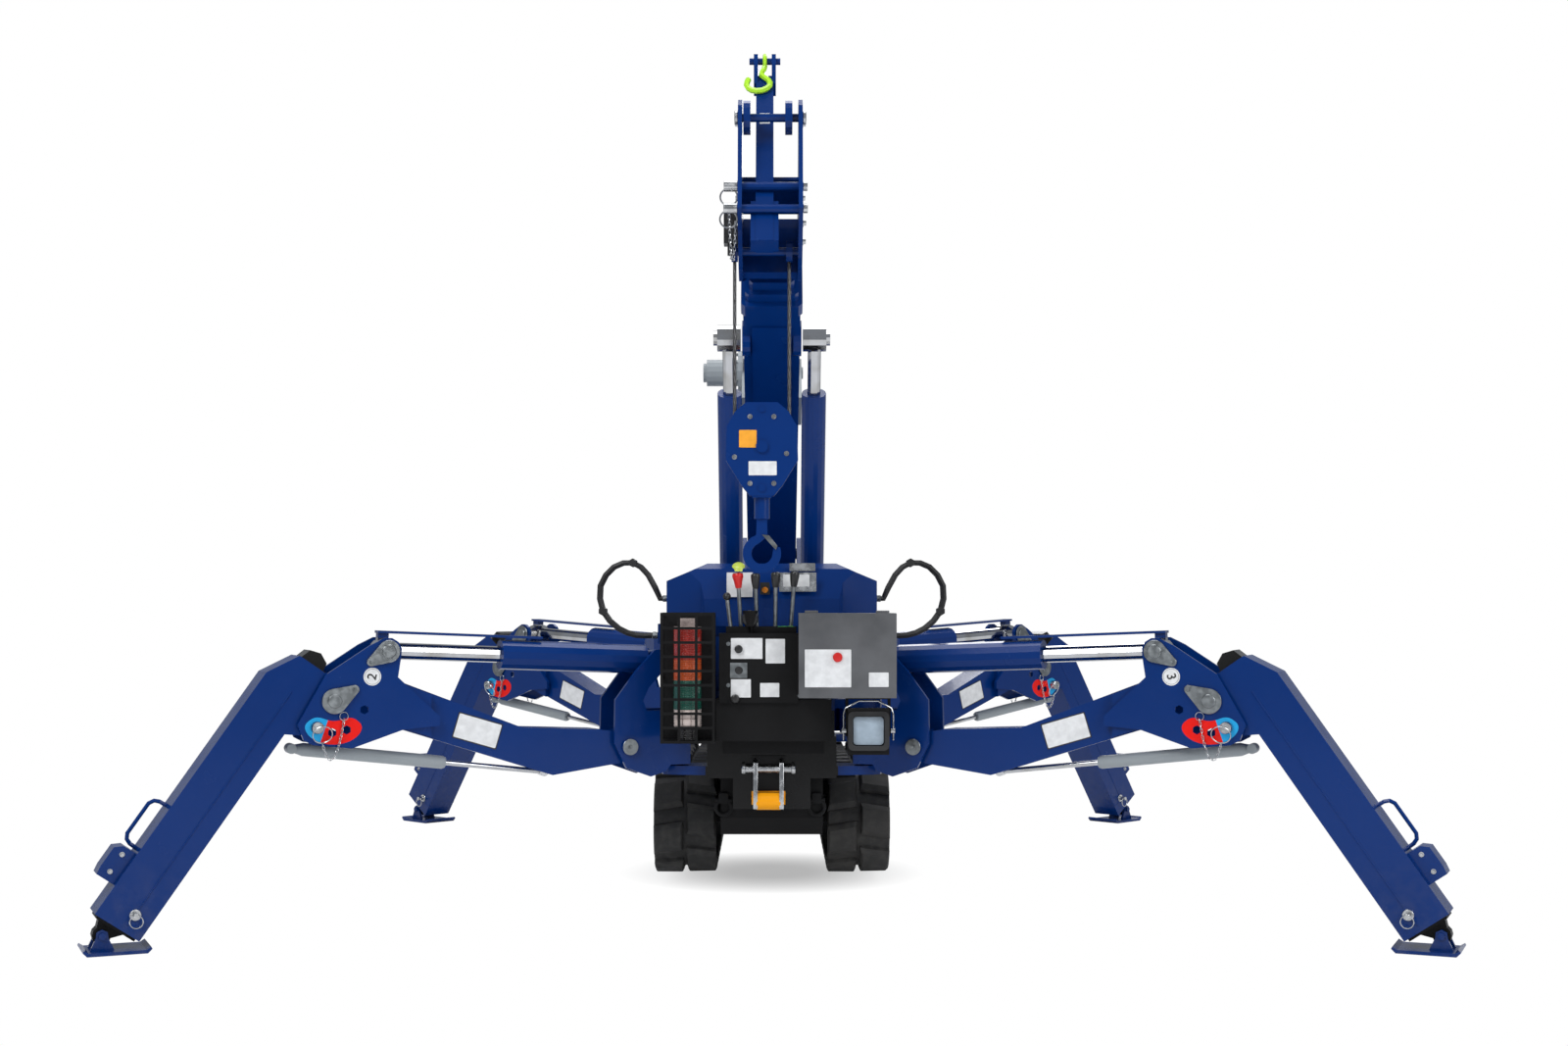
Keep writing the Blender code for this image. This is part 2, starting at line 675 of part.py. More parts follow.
first = SECTIONS[0]
foot_end = BASE_H / 2
outline = arc(0, 0, foot_end, 90, 270, 10)
outline += [(BASE_FRONT - 0.010, -foot_end), (BASE_FRONT - 0.010, foot_end)]
solids = [
    plate(outline, -BASE_W / 2, BASE_W / 2, "X", (), BOOM),
    rounded(BASE_FRONT - 0.050, BASE_FRONT, BASE_W + 0.012, BASE_H + 0.012, 0.012),
    box(-0.060, 0.060, 1.000, 1.500, -foot_end - 0.006, -foot_end + 0.002, BOOM),
]
for side in (-1, 1):
    edges = (side * (BASE_W / 2 - 0.020), side * (BASE_W / 2 + 0.0045))
    ends = [boom_point(x, TRUNNION_U, TRUNNION_V) for x in edges]
    solids.append(rod(*ends, 0.054, 20))
cuts = [
    section(0.125, BASE_FRONT - 0.060, BASE_W, BASE_H, BASE_WALL),
    section(BASE_FRONT - 0.100, BASE_FRONT + 0.020, *guide(*first)),
    rod(boom_point(-0.2, 0, 0), boom_point(0.2, 0, 0), (FOOT_PIN_RADIUS + PIN_PLAY) * BORE_GROW, BORE_SIDES),
]
fuse("boom_base", BLUE, solids, cuts)

outer = (BASE_W - 2 * BASE_WALL, BASE_H - 2 * BASE_WALL)
front = BASE_FRONT
for k, size in enumerate(SECTIONS):
    start = 0.140 + 0.030 * k
    collar = front + GAP
    front = collar + COLLAR_LEN
    grown = (size[0] + 2 * COLLAR_T, size[1] + 2 * COLLAR_T)
    pads = (outer[0] - 2 * SLIDE_PLAY, outer[1] - 2 * SLIDE_PLAY)
    solids = [
        section(start + 0.004, front - 0.006, *size),
        rounded(start, start + 0.050, *pads, 0.010),
        rounded(collar, front, *grown, 0.010),
    ]
    hole = (size[0] - 2 * SECTION_WALL, size[1] - 2 * SECTION_WALL)
    if k < 2:
        inner = guide(*SECTIONS[k + 1])
        cuts = [section(start - 0.020, collar + 0.010, *hole), section(collar, front + 0.020, *inner)]
    else:
        cuts = [section(start - 0.020, front - 0.012, *hole)]
    fuse(f"boom_section_{k + 2}", BLUE, solids, cuts)
    outer = hole
TIP = front

# boom head with its sheaves, the folded jib and the jib's own hook
BACK = TIP + GAP
low_x, high_x = HEAD_X
cheek = [(BACK, -0.110), (1.800, -0.135), (1.850, -0.135), (1.960, -0.125), (2.050, -0.120),
         (2.056, 0.000), (2.100, 0.120), (2.122, 0.190), (2.095, 0.235), (2.045, 0.240),
         (1.960, 0.170), (1.880, 0.125), (BACK, 0.100)]
lower = BOOM.inverted() @ Vector((0, *HANG))
solids = []
for x in (low_x, high_x - HEAD_T):
    solids.append(plate(cheek, x, x + HEAD_T, "X", (), BOOM))
solids.append(box(low_x + 0.001, high_x - 0.001, BACK, BACK + 0.030, -0.1005, 0.098, BOOM))
solids.append(box(low_x + 0.002, high_x - 0.002, 1.780, 1.930, 0.085, 0.095, BOOM))
HEAD_PINS = ((2.0213, -0.019), (2.0213, -0.099))
for u, v in HEAD_PINS:
    solids.append(rod(boom_point(low_x + 0.002, u, v), boom_point(high_x - 0.002, u, v), 0.012, 10))
TOP_SHEAVE = (2.070, 0.190)
solids.append(
    rod(boom_point(low_x + 0.002, *TOP_SHEAVE), boom_point(high_x - 0.002, *TOP_SHEAVE), 0.012, 8)
)
for x in (-0.070, 0.048):
    ends = [boom_point(x + d, *TOP_SHEAVE) for d in (-0.010, 0.010)]
    solids.append(rod(*ends, 0.048, 16))
HANG_SHEAVE_R = 0.030
solids.append(
    rod((FALL_X[0] - 0.016, *HANG), (high_x - 0.003, *HANG), 0.012, 10)
)
for x in FALL_X:
    solids.append(rod((x - 0.009, *HANG), (x + 0.009, *HANG), HANG_SHEAVE_R, 14))
fuse("boom_head", BLUE, solids)

jib_lo, jib_hi = -0.200, 0.470
jib_back = JIB_FRONT_U - 0.056
solids = [
    box(JIB_X - 0.025, JIB_X + 0.025, jib_back, JIB_FRONT_U, jib_lo, jib_hi - 0.060, BOOM),
    box(JIB_X - 0.039, JIB_X + 0.039, jib_back + 0.006, JIB_FRONT_U - 0.002, jib_lo, -0.060, BOOM),
]
tip = [(jib_back + 0.004, 0.380), (JIB_FRONT_U, 0.380), (JIB_FRONT_U + 0.030, 0.430),
       (JIB_FRONT_U + 0.034, 0.462), (JIB_FRONT_U + 0.015, 0.480), (jib_back + 0.004, 0.470)]
for x in (JIB_X - 0.032, JIB_X + 0.020):
    solids.append(plate(tip, x, x + 0.012, "X", (), BOOM))
JIB_PIN = (JIB_FRONT_U + 0.014, 0.452)
JIB_PIN_R = 0.010
solids.append(
    rod(boom_point(JIB_X - 0.045, *JIB_PIN), boom_point(JIB_X + 0.045, *JIB_PIN), JIB_PIN_R, 14)
)
fuse("jib", BLUE, solids)

eye_x = JIB_X
eye = boom_point(eye_x, *JIB_PIN)
turns = [math.radians(a) for a in range(90, 431, 20)]
eye_r = JIB_PIN_R / math.cos(math.pi / 14) + GAP + 0.0065
loop = [(eye_x, eye.y + eye_r * math.cos(a), eye.z + eye_r * math.sin(a)) for a in turns]
HOOK_WIRE = 0.0085
lay = JIB_FRONT_U + HOOK_WIRE + GAP
claw = [(0.0, JIB_PIN[0], 0.436), (-0.003, lay, 0.424), (-0.010, lay, 0.405),
        (0.010, lay, 0.386), (0.014, lay, 0.362), (-0.008, lay, 0.344), (-0.038, lay, 0.345),
        (-0.053, lay, 0.364), (-0.047, lay, 0.388)]
claw = [boom_point(eye_x + x, u, v) for x, u, v in claw]
fuse(
    "jib_hook",
    LIME,
    [wire(loop, 0.006, 1), wire(smooth(claw, 2), HOOK_WIRE, 1)],
)

SWITCH_X = low_x - GAP
at = boom_point(0, 1.905, -0.075)
fuse(
    "limit_switch",
    BLACK,
    [
        box(SWITCH_X - 0.040, SWITCH_X, at.y - 0.030, at.y + 0.030, at.z - 0.045, at.z + 0.040),
        rod((SWITCH_X - 0.020, at.y, at.z - 0.075), (SWITCH_X - 0.020, at.y, at.z), 0.010, 12),
    ],
)

# winch on the boom
frame = [(DRUM_U - 0.080, BASE_H / 2 + GAP), (DRUM_U + 0.080, BASE_H / 2 + GAP),
         (DRUM_U + 0.050, DRUM_V + 0.010)]
frame += arc(DRUM_U, DRUM_V, 0.048, 20, 160, 5)
frame += [(DRUM_U - 0.050, DRUM_V + 0.010)]
CHEEK_IN = DRUM_HALF + SIDE
CHEEK_OUT = CHEEK_IN + 0.010
solids = []
for side in (-1, 1):
    edges = sorted((side * CHEEK_IN, side * CHEEK_OUT))
    solids.append(plate(frame, *edges, "X", (), BOOM))
solids.append(
    box(-CHEEK_OUT + 0.001, CHEEK_OUT - 0.001, DRUM_U - 0.078, DRUM_U + 0.078,
        BASE_H / 2 + GAP, BASE_H / 2 + 0.012, BOOM)
)
for start, end, radius in (
    (-CHEEK_OUT - 0.008, CHEEK_OUT + 0.006, 0.020),
    (-0.114, -0.097, 0.075),
    (-0.220, -0.105, 0.045),
    (-0.232, -0.215, 0.032),
):
    ends = [boom_point(x, DRUM_U, DRUM_V) for x in (start, end)]
    solids.append(rod(*ends, radius, 16))
fuse("winch_motor", STEEL, solids)

solids = []
for start, end, radius in (
    (-DRUM_HALF, DRUM_HALF, 0.060),
    (-DRUM_HALF, -DRUM_HALF + 0.008, 0.095),
    (DRUM_HALF - 0.008, DRUM_HALF, 0.095),
):
    ends = [boom_point(x, DRUM_U, DRUM_V) for x in (start, end)]
    solids.append(rod(*ends, radius, 24))
ends = [boom_point(x, DRUM_U, DRUM_V) for x in (-0.2, 0.2)]
fuse("winch_drum", BLUE, solids, [rod(*ends, (0.020 + PIN_PLAY) * BORE_GROW, BORE_SIDES)])

# luffing cylinders
BOTTOM = Vector((0, *LUFF_PIN))
TRUNNION = boom_point(0, TRUNNION_U, TRUNNION_V)
LUFF_LEN = (TRUNNION - BOTTOM).length
LUFF_WAY = (TRUNNION - BOTTOM).normalized()
ACROSS = Vector((1, 0, 0))
solids = [
    rod(BOTTOM - ACROSS * (LUFF_X + 0.030), BOTTOM + ACROSS * (LUFF_X + 0.030), 0.034)
]
cuts = [rod(BOTTOM - ACROSS * 0.3, BOTTOM + ACROSS * 0.3, (LUFF_PIN_R + PIN_PLAY) * BORE_GROW, BORE_SIDES)]
for side in (-1, 1):
    at = BOTTOM + ACROSS * side * LUFF_X
    solids.append(rod(at, at + LUFF_WAY * LUFF_TUBE_LEN, LUFF_TUBE_R, 16))
    cuts.append(
        rod(at + LUFF_WAY * 0.045, at + LUFF_WAY * (LUFF_TUBE_LEN + 0.020),
            (LUFF_ROD_R + PIN_PLAY) * BORE_GROW, BORE_SIDES)
    )
fuse("luff_tubes", BLUE, solids, cuts)
for side, name in ((-1, "luff_rod_left"), (1, "luff_rod_right")):
    at = BOTTOM + ACROSS * side * LUFF_X
    eye_in, eye_out = BASE_W / 2 + 0.0045 + SIDE, LUFF_X + 0.035
    ends = [TRUNNION + ACROSS * side * x for x in (eye_in, eye_out)]
    fuse(
        name,
        CHROME,
        [
            rod(at + LUFF_WAY * (LUFF_LEN - LUFF_TUBE_LEN), at + LUFF_WAY * (LUFF_LEN - 0.010),
                LUFF_ROD_R, BORE_SIDES),
            rod(*ends, 0.040, 14),
            rod(ends[0] + ACROSS * side * 0.055, ends[1] + ACROSS * side * 0.012, 0.022, 12),
        ],
    )

# hoist rope, hook block and load hook
BEND_R = (FALL_X[1] - FALL_X[0]) / 2
BEND_STEPS = 16
HANG_Y, HANG_Z = HANG
rope_top = HANG_Z - HANG_SHEAVE_R - GAP
bend = arc(BLOCK_X, BLOCK_Z, BEND_R, 180, 360, BEND_STEPS)
fuse(
    "hoist_rope",
    ROPE,
    [
        wire(
            [(FALL_X[0], HANG_Y, rope_top), *[(x, HANG_Y, z) for x, z in bend],
             (FALL_X[1], HANG_Y, rope_top)],
            ROPE_R,
        )
    ],
)

BLOCK_SHEAVE_R = BEND_R * math.cos(math.pi / (2 * BEND_STEPS)) - ROPE_R - GAP
half = [(0.045, 0.126), (0.076, 0.100), (0.100, 0.058), (0.103, -0.038), (0.060, -0.108),
        (0.034, -0.140)]
outline = [(BLOCK_X + x, BLOCK_Z + z) for x, z in half]
outline += [(BLOCK_X - x, BLOCK_Z + z) for x, z in reversed(half)]
BLOCK_BOTTOM = BLOCK_Z - 0.145
solids = [
    plate(outline, HANG_Y + 0.012, HANG_Y + 0.035, "Y"),
    plate(outline, HANG_Y - 0.035, HANG_Y - 0.012, "Y"),
    box(BLOCK_X - 0.028, BLOCK_X + 0.028, HANG_Y - 0.033, HANG_Y + 0.033, BLOCK_BOTTOM, BLOCK_Z - 0.092),
    rod((BLOCK_X, HANG_Y - 0.009, BLOCK_Z), (BLOCK_X, HANG_Y + 0.009, BLOCK_Z), BLOCK_SHEAVE_R, 24),
]
for x, z, radius, out in ((0, 0, 0.018, 0.042), (0, 0.106, 0.009, 0.039), (0, -0.118, 0.011, 0.039)):
    at = (BLOCK_X + x, BLOCK_Z + z)
    solids.append(
        rod((at[0], HANG_Y - out, at[1]), (at[0], HANG_Y + out, at[1]), radius, 10)
    )
fuse("hook_block", BLUE, solids)

HOOK_Z = 1.116
outer_arc = arc(BLOCK_X, HOOK_Z, 0.055, 108, 378, 18)
inner_arc = arc(BLOCK_X, HOOK_Z, 0.030, 360, 110, 14)
outline = [*outer_arc, (BLOCK_X + 0.034, HOOK_Z + 0.022), *inner_arc,
           (BLOCK_X + 0.016, HOOK_Z + 0.050), (BLOCK_X + 0.014, 1.235), (BLOCK_X - 0.014, 1.235)]
fuse(
    "load_hook",
    BLUE,
    [
        plate(outline, HANG_Y - 0.013, HANG_Y + 0.013, "Y"),
        rod((BLOCK_X, HANG_Y, 1.215), (BLOCK_X, HANG_Y, BLOCK_BOTTOM - GAP), 0.022, 20),
    ],
)


# one outrigger leg
def leg_point(along, out):
    """(r, z) of a point along the lower leg and square to it, from the knee pin."""
    c, s = math.cos(LEG_DIR), math.sin(LEG_DIR)
    return (KNEE[0] + along * c - out * s, KNEE[1] + along * s + out * c)


def leg_plate(outline, half, low=None):
    edges = (-half, half) if low is None else (low, half)
    return plate([leg_point(*p) for p in outline], *edges, "Y")


def across(at, near, far, radius, sides=BORE_SIDES):
    return rod((at[0], near, at[1]), (at[0], far, at[1]), radius, sides)


def pair(make):
    """The same piece on both sides of the leg's plane."""
    return [make(side) for side in (-1, 1)]


def cheeks(outline, inner, thick):
    return pair(lambda side: plate(outline, *sorted((side * inner, side * (inner + thick))), "Y"))


def bosses(at, inner, outer, radius, sides=8):
    return pair(lambda side: across(at, side * inner, side * outer, radius, sides))


templates = {}

swing = [(-0.020, 0.472), (0.045, 0.472), (0.062, 0.452), (0.111, 0.437), (0.191, 0.466),
         (0.230, 0.542), (0.227, 0.676), (0.159, 0.764)]
swing += arc(*LIFT_IN, 0.036, 20, 200, 4)
swing += [(0.118, 0.712), (0.137, 0.672), (0.124, 0.640), (-0.020, 0.640)]
inside = BRACKET_HALF + 0.002
templates["swing_bracket"] = fuse(
    "swing_bracket",
    BLUE,
    [
        rod((0, 0, BARREL_BOTTOM), (0, 0, BARREL_TOP), BARREL_R, 12),
        box(0.0, 0.055, -inside, inside, BARREL_BOTTOM + 0.006, BARREL_TOP - 0.006),
        box(0.056, 0.100, -inside, inside, 0.455, 0.480),
        *cheeks(swing, BRACKET_HALF, BRACKET_T),
        across(ARM_PIN, -inside, inside, ARM_PIN_R),
        *bosses(ARM_PIN, BRACKET_HALF + 0.006, BRACKET_HALF + BRACKET_T + 0.008, 0.026),
        across(LIFT_IN, -inside, inside, LIFT_PIN_R),
    ],
    [rod((0, 0, 0.4), (0, 0, 0.7), (SWING_PIN_R + PIN_PLAY) * BORE_GROW, BORE_SIDES)],
    SHOP,
)

arm = [(0.915, 0.753), (0.514, 0.597), (0.276, 0.586), (0.215, 0.577)]
arm += arc(*ARM_PIN, 0.049, 90, 270, 6)
arm += [(0.222, 0.478), (0.420, 0.451), (0.887, 0.603)]
knee = arc(*LIFT_OUT, 0.040, 75, 200, 4)
knee += [(0.902, 0.757), (0.777, 0.640), (0.777, 0.612), (0.887, 0.603), (1.037, 0.553),
         (1.150, 0.566), (1.176, 0.580), (1.194, 0.625), (1.112, 0.768), (0.985, 0.850)]
weld = [(0.904, 0.744), (0.800, 0.703), (0.800, 0.579), (0.884, 0.606), (0.900, 0.680)]
LOCKS = {angle: (KNEE[0] + 0.091 * math.cos(math.radians(angle)),
                 KNEE[1] + 0.091 * math.sin(math.radians(angle))) for angle in (-55, -86, -113, -163)}
face = KNEE_HALF + KNEE_T
templates["arm"] = fuse(
    "arm",
    BLUE,
    [
        plate(arm, -ARM_HALF, ARM_HALF, "Y"),
        plate(weld, -KNEE_HALF - 0.001, KNEE_HALF + 0.001, "Y"),
        *cheeks(knee, KNEE_HALF, KNEE_T),
        across(KNEE, -KNEE_HALF - 0.003, KNEE_HALF + 0.003, KNEE_PIN_R),
        *bosses(KNEE, face - 0.004, face + 0.007, 0.033),
        *bosses(LIFT_OUT, face - 0.004, face + 0.005, 0.026),
        *bosses(LOCKS[-55], face - 0.004, face + 0.024, 0.017, 6),
    ],
    [
        across(ARM_PIN, -0.1, 0.1, (ARM_PIN_R + PIN_PLAY) * BORE_GROW),
        *[across(LOCKS[angle], -0.2, 0.2, LOCK_HOLE_R, 6) for angle in (-86, -113, -163)],
    ],
    SHOP,
)

START = Vector((LIFT_IN[0], 0, LIFT_IN[1]))
LIFT = Vector((LIFT_OUT[0], 0, LIFT_OUT[1])) - START
LIFT_LEN = LIFT.length
LIFT_WAY = LIFT.normalized()
LIFT_TURN = Matrix.Translation(START) @ Matrix.Rotation(-math.atan2(LIFT.z, LIFT.x), 4, "Y")
templates["lift_tube"] = fuse(
    "lift_tube",
    BLUE,
    [
        rod(START + LIFT_WAY * 0.025, START + LIFT_WAY * LIFT_TUBE_LEN, LIFT_TUBE_R, 14),
        across(LIFT_IN, -0.030, 0.030, 0.030),
    ],
    [
        across(LIFT_IN, -0.1, 0.1, (LIFT_PIN_R + PIN_PLAY) * BORE_GROW),
        rod(START + LIFT_WAY * 0.070, START + LIFT_WAY * (LIFT_TUBE_LEN + 0.02),
            (LIFT_ROD_R + PIN_PLAY) * BORE_GROW, BORE_SIDES),
    ],
    SHOP,
)

ROD_INNER = 0.345
STRAP = (0.0515, 0.0590)
templates["lift_rod"] = fuse(
    "lift_rod",
    CHROME,
    [
        rod(START + LIFT_WAY * ROD_INNER, START + LIFT_WAY * (LIFT_LEN - 0.015), LIFT_ROD_R, BORE_SIDES),
        across(LIFT_OUT, -0.030, 0.030, 0.035),
        across(LIFT_OUT, -KNEE_HALF + 0.006, KNEE_HALF - 0.006, LIFT_PIN_R, 8),
        box(LIFT_LEN - 0.014, LIFT_LEN + 0.018, -0.014, 0.014, 0.015, STRAP[0] + 0.003, LIFT_TURN),
        box(0.362, LIFT_LEN + 0.020, -0.022, 0.022, *STRAP, LIFT_TURN),
    ],
    (),
    SHOP,
)

shell = [(-0.055, LEG_S0), (LEG_END, LEG_S0), (LEG_END, LEG_S1), (0.040, LEG_S1), (-0.052, 0.155)]
lug = [(-0.050, 0.075)]
lug += arc(0, 0, 0.045, 180, 270, 6)
lug += arc(0.091, 0, 0.031, 270, 360, 6)
lug += [(0.165, 0.075)]
bumper = [(-0.050, 0.070), (-0.046, 0.148), (-0.084, 0.136), (-0.094, 0.105), (-0.079, 0.074)]
bracket = [(0.655, LEG_S1 - 0.004), (0.758, LEG_S1 - 0.004), (0.758, 0.262), (0.735, 0.266),
           (0.672, 0.266), (0.655, 0.245)]
handle = [(0.500, 0.198), (0.502, 0.230), (0.508, 0.244), (0.522, 0.252), (0.622, 0.252),
          (0.636, 0.244), (0.642, 0.230), (0.644, 0.198)]
hollow = [(INNER_START - 0.060, LEG_S0 + LEG_WALL), (LEG_END + 0.020, LEG_S0 + LEG_WALL),
          (LEG_END + 0.020, LEG_S1 - LEG_WALL), (INNER_START - 0.060, LEG_S1 - LEG_WALL)]
templates["lower_leg"] = fuse(
    "lower_leg",
    BLUE,
    [
        leg_plate(shell, LEG_HALF),
        leg_plate(lug, LEG_HALF - 0.0005),
        leg_plate(bumper, 0.045),
        leg_plate(bracket, 0.040),
        wire([(r, 0, z) for r, z in (leg_point(*p) for p in handle)], 0.006),
    ],
    [
        leg_plate(hollow, LEG_HALF - LEG_WALL),
        across(KNEE, -0.1, 0.1, (KNEE_PIN_R + PIN_PLAY) * BORE_GROW),
        across(LOCKS[-55], -0.1, 0.1, LOCK_HOLE_R, 6),
    ],
    SHOP,
)

low_s, high_s = LEG_S0 + LEG_WALL + SLIDE_PLAY, LEG_S1 - LEG_WALL - SLIDE_PLAY
FOOT = leg_point(*FOOT_PIN)
neck = [(INNER_END - 0.010, 0.090), (INNER_END - 0.010, 0.186), (0.880, FOOT_PIN[1] + 0.024),
        (FOOT_PIN[0], FOOT_PIN[1] + 0.020), (FOOT_PIN[0], FOOT_PIN[1] - 0.020)]
templates["inner_leg"] = fuse(
    "inner_leg",
    BLACK,
    [
        leg_plate(
            [(INNER_START, low_s), (INNER_END, low_s), (INNER_END, high_s), (INNER_START, high_s)],
            LEG_HALF - LEG_WALL - SLIDE_PLAY,
        ),
        leg_plate(neck, 0.020),
        across(FOOT, -0.022, 0.022, 0.026),
    ],
    [across(FOOT, -0.1, 0.1, (FOOT_PIN_R + PIN_PLAY) * BORE_GROW)],
    SHOP,
)

sole = [(PAD_IN, 0.012), (PAD_IN + 0.012, 0.0), (PAD_OUT - 0.012, 0.0), (PAD_OUT, 0.012),
        (PAD_OUT - 0.003, 0.018), (PAD_OUT - 0.016, PAD_T), (PAD_IN + 0.016, PAD_T),
        (PAD_IN + 0.003, 0.018)]
ears = arc(*FOOT, 0.018, 200, -20, 4)
ears += [(FOOT[0] + 0.034, PAD_T - 0.003), (FOOT[0] - 0.034, PAD_T - 0.003)]
templates["foot_pad"] = fuse(
    "foot_pad",
    BLUE,
    [
        plate(sole, -PAD_HALF, PAD_HALF, "Y"),
        *cheeks(ears, 0.0275, 0.010),
        across(FOOT, -0.045, 0.045, FOOT_PIN_R),
    ],
    (),
    SHOP,
)

AXES = {
    "swing": (0, 0.555, ("swing_bracket",)),
    "arm": (*ARM_PIN, ("arm",)),
    "lift": (*LIFT_IN, ("lift_tube", "lift_rod")),
    "knee": (*KNEE, ("lower_leg", "inner_leg")),
    "foot": (*FOOT, ("foot_pad",)),
}
ABOVE = {"arm": "swing", "lift": "swing", "knee": "arm", "foot": "knee"}
for leg, (x, y, turn) in LEGS.items():
    stand = Matrix.Translation((x, y, 0)) @ Matrix.Rotation(math.radians(turn), 4, "Z")
    empties = {}
    for axis, (r, z, parts) in AXES.items():
        place = stand @ Vector((r, 0, z))
        empties[axis] = pivot(f"{leg}_{axis}", *place)
        if axis in ABOVE:
            hang(empties[axis], empties[ABOVE[axis]])
        for part in parts:
            obj = bpy.data.objects.new(f"{leg}_{part}", templates[part].data)
            obj.matrix_world = stand
            CRANE.objects.link(obj)
            hang(obj, empties[axis])
for template in templates.values():
    bpy.data.objects.remove(template, do_unlink=True)

# what turns, tilts and slides with what
named = bpy.data.objects
slew = pivot("slew", 0, SLEW_Y, BLOCK_TOP)
luff = pivot("luff", 0, FOOT_Y, FOOT_Z)
cylinder = pivot("luff_tubes", *BOTTOM)
plumb = pivot("hang", 0, *HANG)
drum = pivot("drum", *boom_point(0, DRUM_U, DRUM_V))
for child, parent in (
    (luff, slew), (cylinder, slew), (drum, luff),
    (named["turntable"], slew), (named["boom_base"], luff), (named["winch_motor"], luff),
    (named["winch_drum"], drum), (named["luff_tubes"], cylinder),
    (named["luff_rod_left"], cylinder), (named["luff_rod_right"], cylinder),
    (named["boom_section_2"], named["boom_base"]),
    (named["boom_section_3"], named["boom_section_2"]),
    (named["boom_section_4"], named["boom_section_3"]),
    (named["boom_head"], named["boom_section_4"]), (named["jib"], named["boom_head"]),
    (named["jib_hook"], named["jib"]), (named["limit_switch"], named["boom_head"]),
    (plumb, named["boom_head"]), (named["hoist_rope"], plumb), (named["hook_block"], plumb),
    (named["load_hook"], plumb),
):
    hang(child, parent)
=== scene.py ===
"""Looks of the compact tracked spider crane: paint, rubber, steel, lamps, plates and small fittings.

Metres, +Z up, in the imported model's own frame. New pieces are grids of points worked out as whole
arrays: a ring of points carried along a row of stations, closed at both ends.
"""

import json
from math import acos, atan2, cos, pi, radians, sin

import bmesh
import bpy
import numpy as np
from mathutils import Matrix, Vector


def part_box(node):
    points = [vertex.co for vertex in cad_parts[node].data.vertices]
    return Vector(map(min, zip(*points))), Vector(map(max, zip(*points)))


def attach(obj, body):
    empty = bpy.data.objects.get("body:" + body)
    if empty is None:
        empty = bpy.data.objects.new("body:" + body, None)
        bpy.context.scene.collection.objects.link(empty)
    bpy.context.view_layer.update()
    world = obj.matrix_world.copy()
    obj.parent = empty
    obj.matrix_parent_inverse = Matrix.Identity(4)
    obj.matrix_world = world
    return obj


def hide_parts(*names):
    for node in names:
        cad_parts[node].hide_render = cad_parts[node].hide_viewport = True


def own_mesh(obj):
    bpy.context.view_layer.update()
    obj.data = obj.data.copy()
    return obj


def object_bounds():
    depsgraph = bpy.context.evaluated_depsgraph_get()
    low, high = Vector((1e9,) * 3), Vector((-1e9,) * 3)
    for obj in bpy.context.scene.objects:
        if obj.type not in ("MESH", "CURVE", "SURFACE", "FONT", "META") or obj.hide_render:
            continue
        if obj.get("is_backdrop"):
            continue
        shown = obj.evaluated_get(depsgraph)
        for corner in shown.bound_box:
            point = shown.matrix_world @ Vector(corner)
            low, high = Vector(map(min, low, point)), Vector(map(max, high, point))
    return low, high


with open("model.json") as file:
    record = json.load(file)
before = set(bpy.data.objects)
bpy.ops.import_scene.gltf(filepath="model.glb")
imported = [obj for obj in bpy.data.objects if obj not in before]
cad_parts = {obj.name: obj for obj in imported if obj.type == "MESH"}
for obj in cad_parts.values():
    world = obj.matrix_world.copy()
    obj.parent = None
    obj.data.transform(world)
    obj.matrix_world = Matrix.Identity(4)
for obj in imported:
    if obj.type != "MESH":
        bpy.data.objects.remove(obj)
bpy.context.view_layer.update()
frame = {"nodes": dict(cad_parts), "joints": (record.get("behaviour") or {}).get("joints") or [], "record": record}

# The photograph's camera, in its own pixels
PHOTO_WIDTH, PHOTO_HEIGHT = 1600, 1067
FOCAL_PX = 2100.0
AXIS_COLUMN, HORIZON_ROW = 787.5, 602.5
CAMERA_Y, CAMERA_Z = -7.41, 1.01

# The parts' own sizes that small fittings and fields of colour go by; a leg's are (r, z) in its frame
LEG_NUMBERS = {"front_left": "2", "front_right": "3", "rear_left": "1", "rear_right": "4"}
KNEE = (1.088, 0.691)
LIFT_IN, LIFT_OUT = (0.083, 0.795), (0.930, 0.833)
STRAP_FOOT = 0.038
ARM_PIN = (0.181, 0.531)
KNEE_FACE, ARM_FACE, BRACKET_FACE, LEG_FACE = 0.0795, 0.050, 0.072, 0.0625
LOCK_REACH, LOCKED_AT = 0.091, -55.0
LEG_DIR = radians(-54.7)
LEG_TIP, SEAM_OVER = 0.850, 0.114
PATCH_MIDDLE, PATCH_HALF_SPAN, CYAN_FROM = -88.0, 51.0, -71.0
PATCH_HALF_WIDTH = 0.034
CAP_ALONG, CAP_OVER = -0.0525, 0.066
PANEL_X, PANEL_BACK, PANEL_TOP = 0.206, -0.70, 0.640
ROLLER_TOP = 0.392
PROUD = 0.0004


def at(x, y, z):
    return np.array((x, y, z), float)


def from_photo(column, row, y):
    """The point seen at a pixel of the photograph, on the upright plane at y."""
    reach = (y - CAMERA_Y) / FOCAL_PX
    return at((column - AXIS_COLUMN) * reach, y, CAMERA_Z - (row - HORIZON_ROW) * reach)


def unit(way):
    way = np.asarray(way, float)
    return way / np.linalg.norm(way, axis=-1, keepdims=True)


# Finishes
def operator(kind, swapped=False):
    """A method that works out one kind of sum on two values."""
    def apply(self, other):
        values = (other, self) if swapped else (self, other)
        return self.math_node(kind, *values)

    return apply


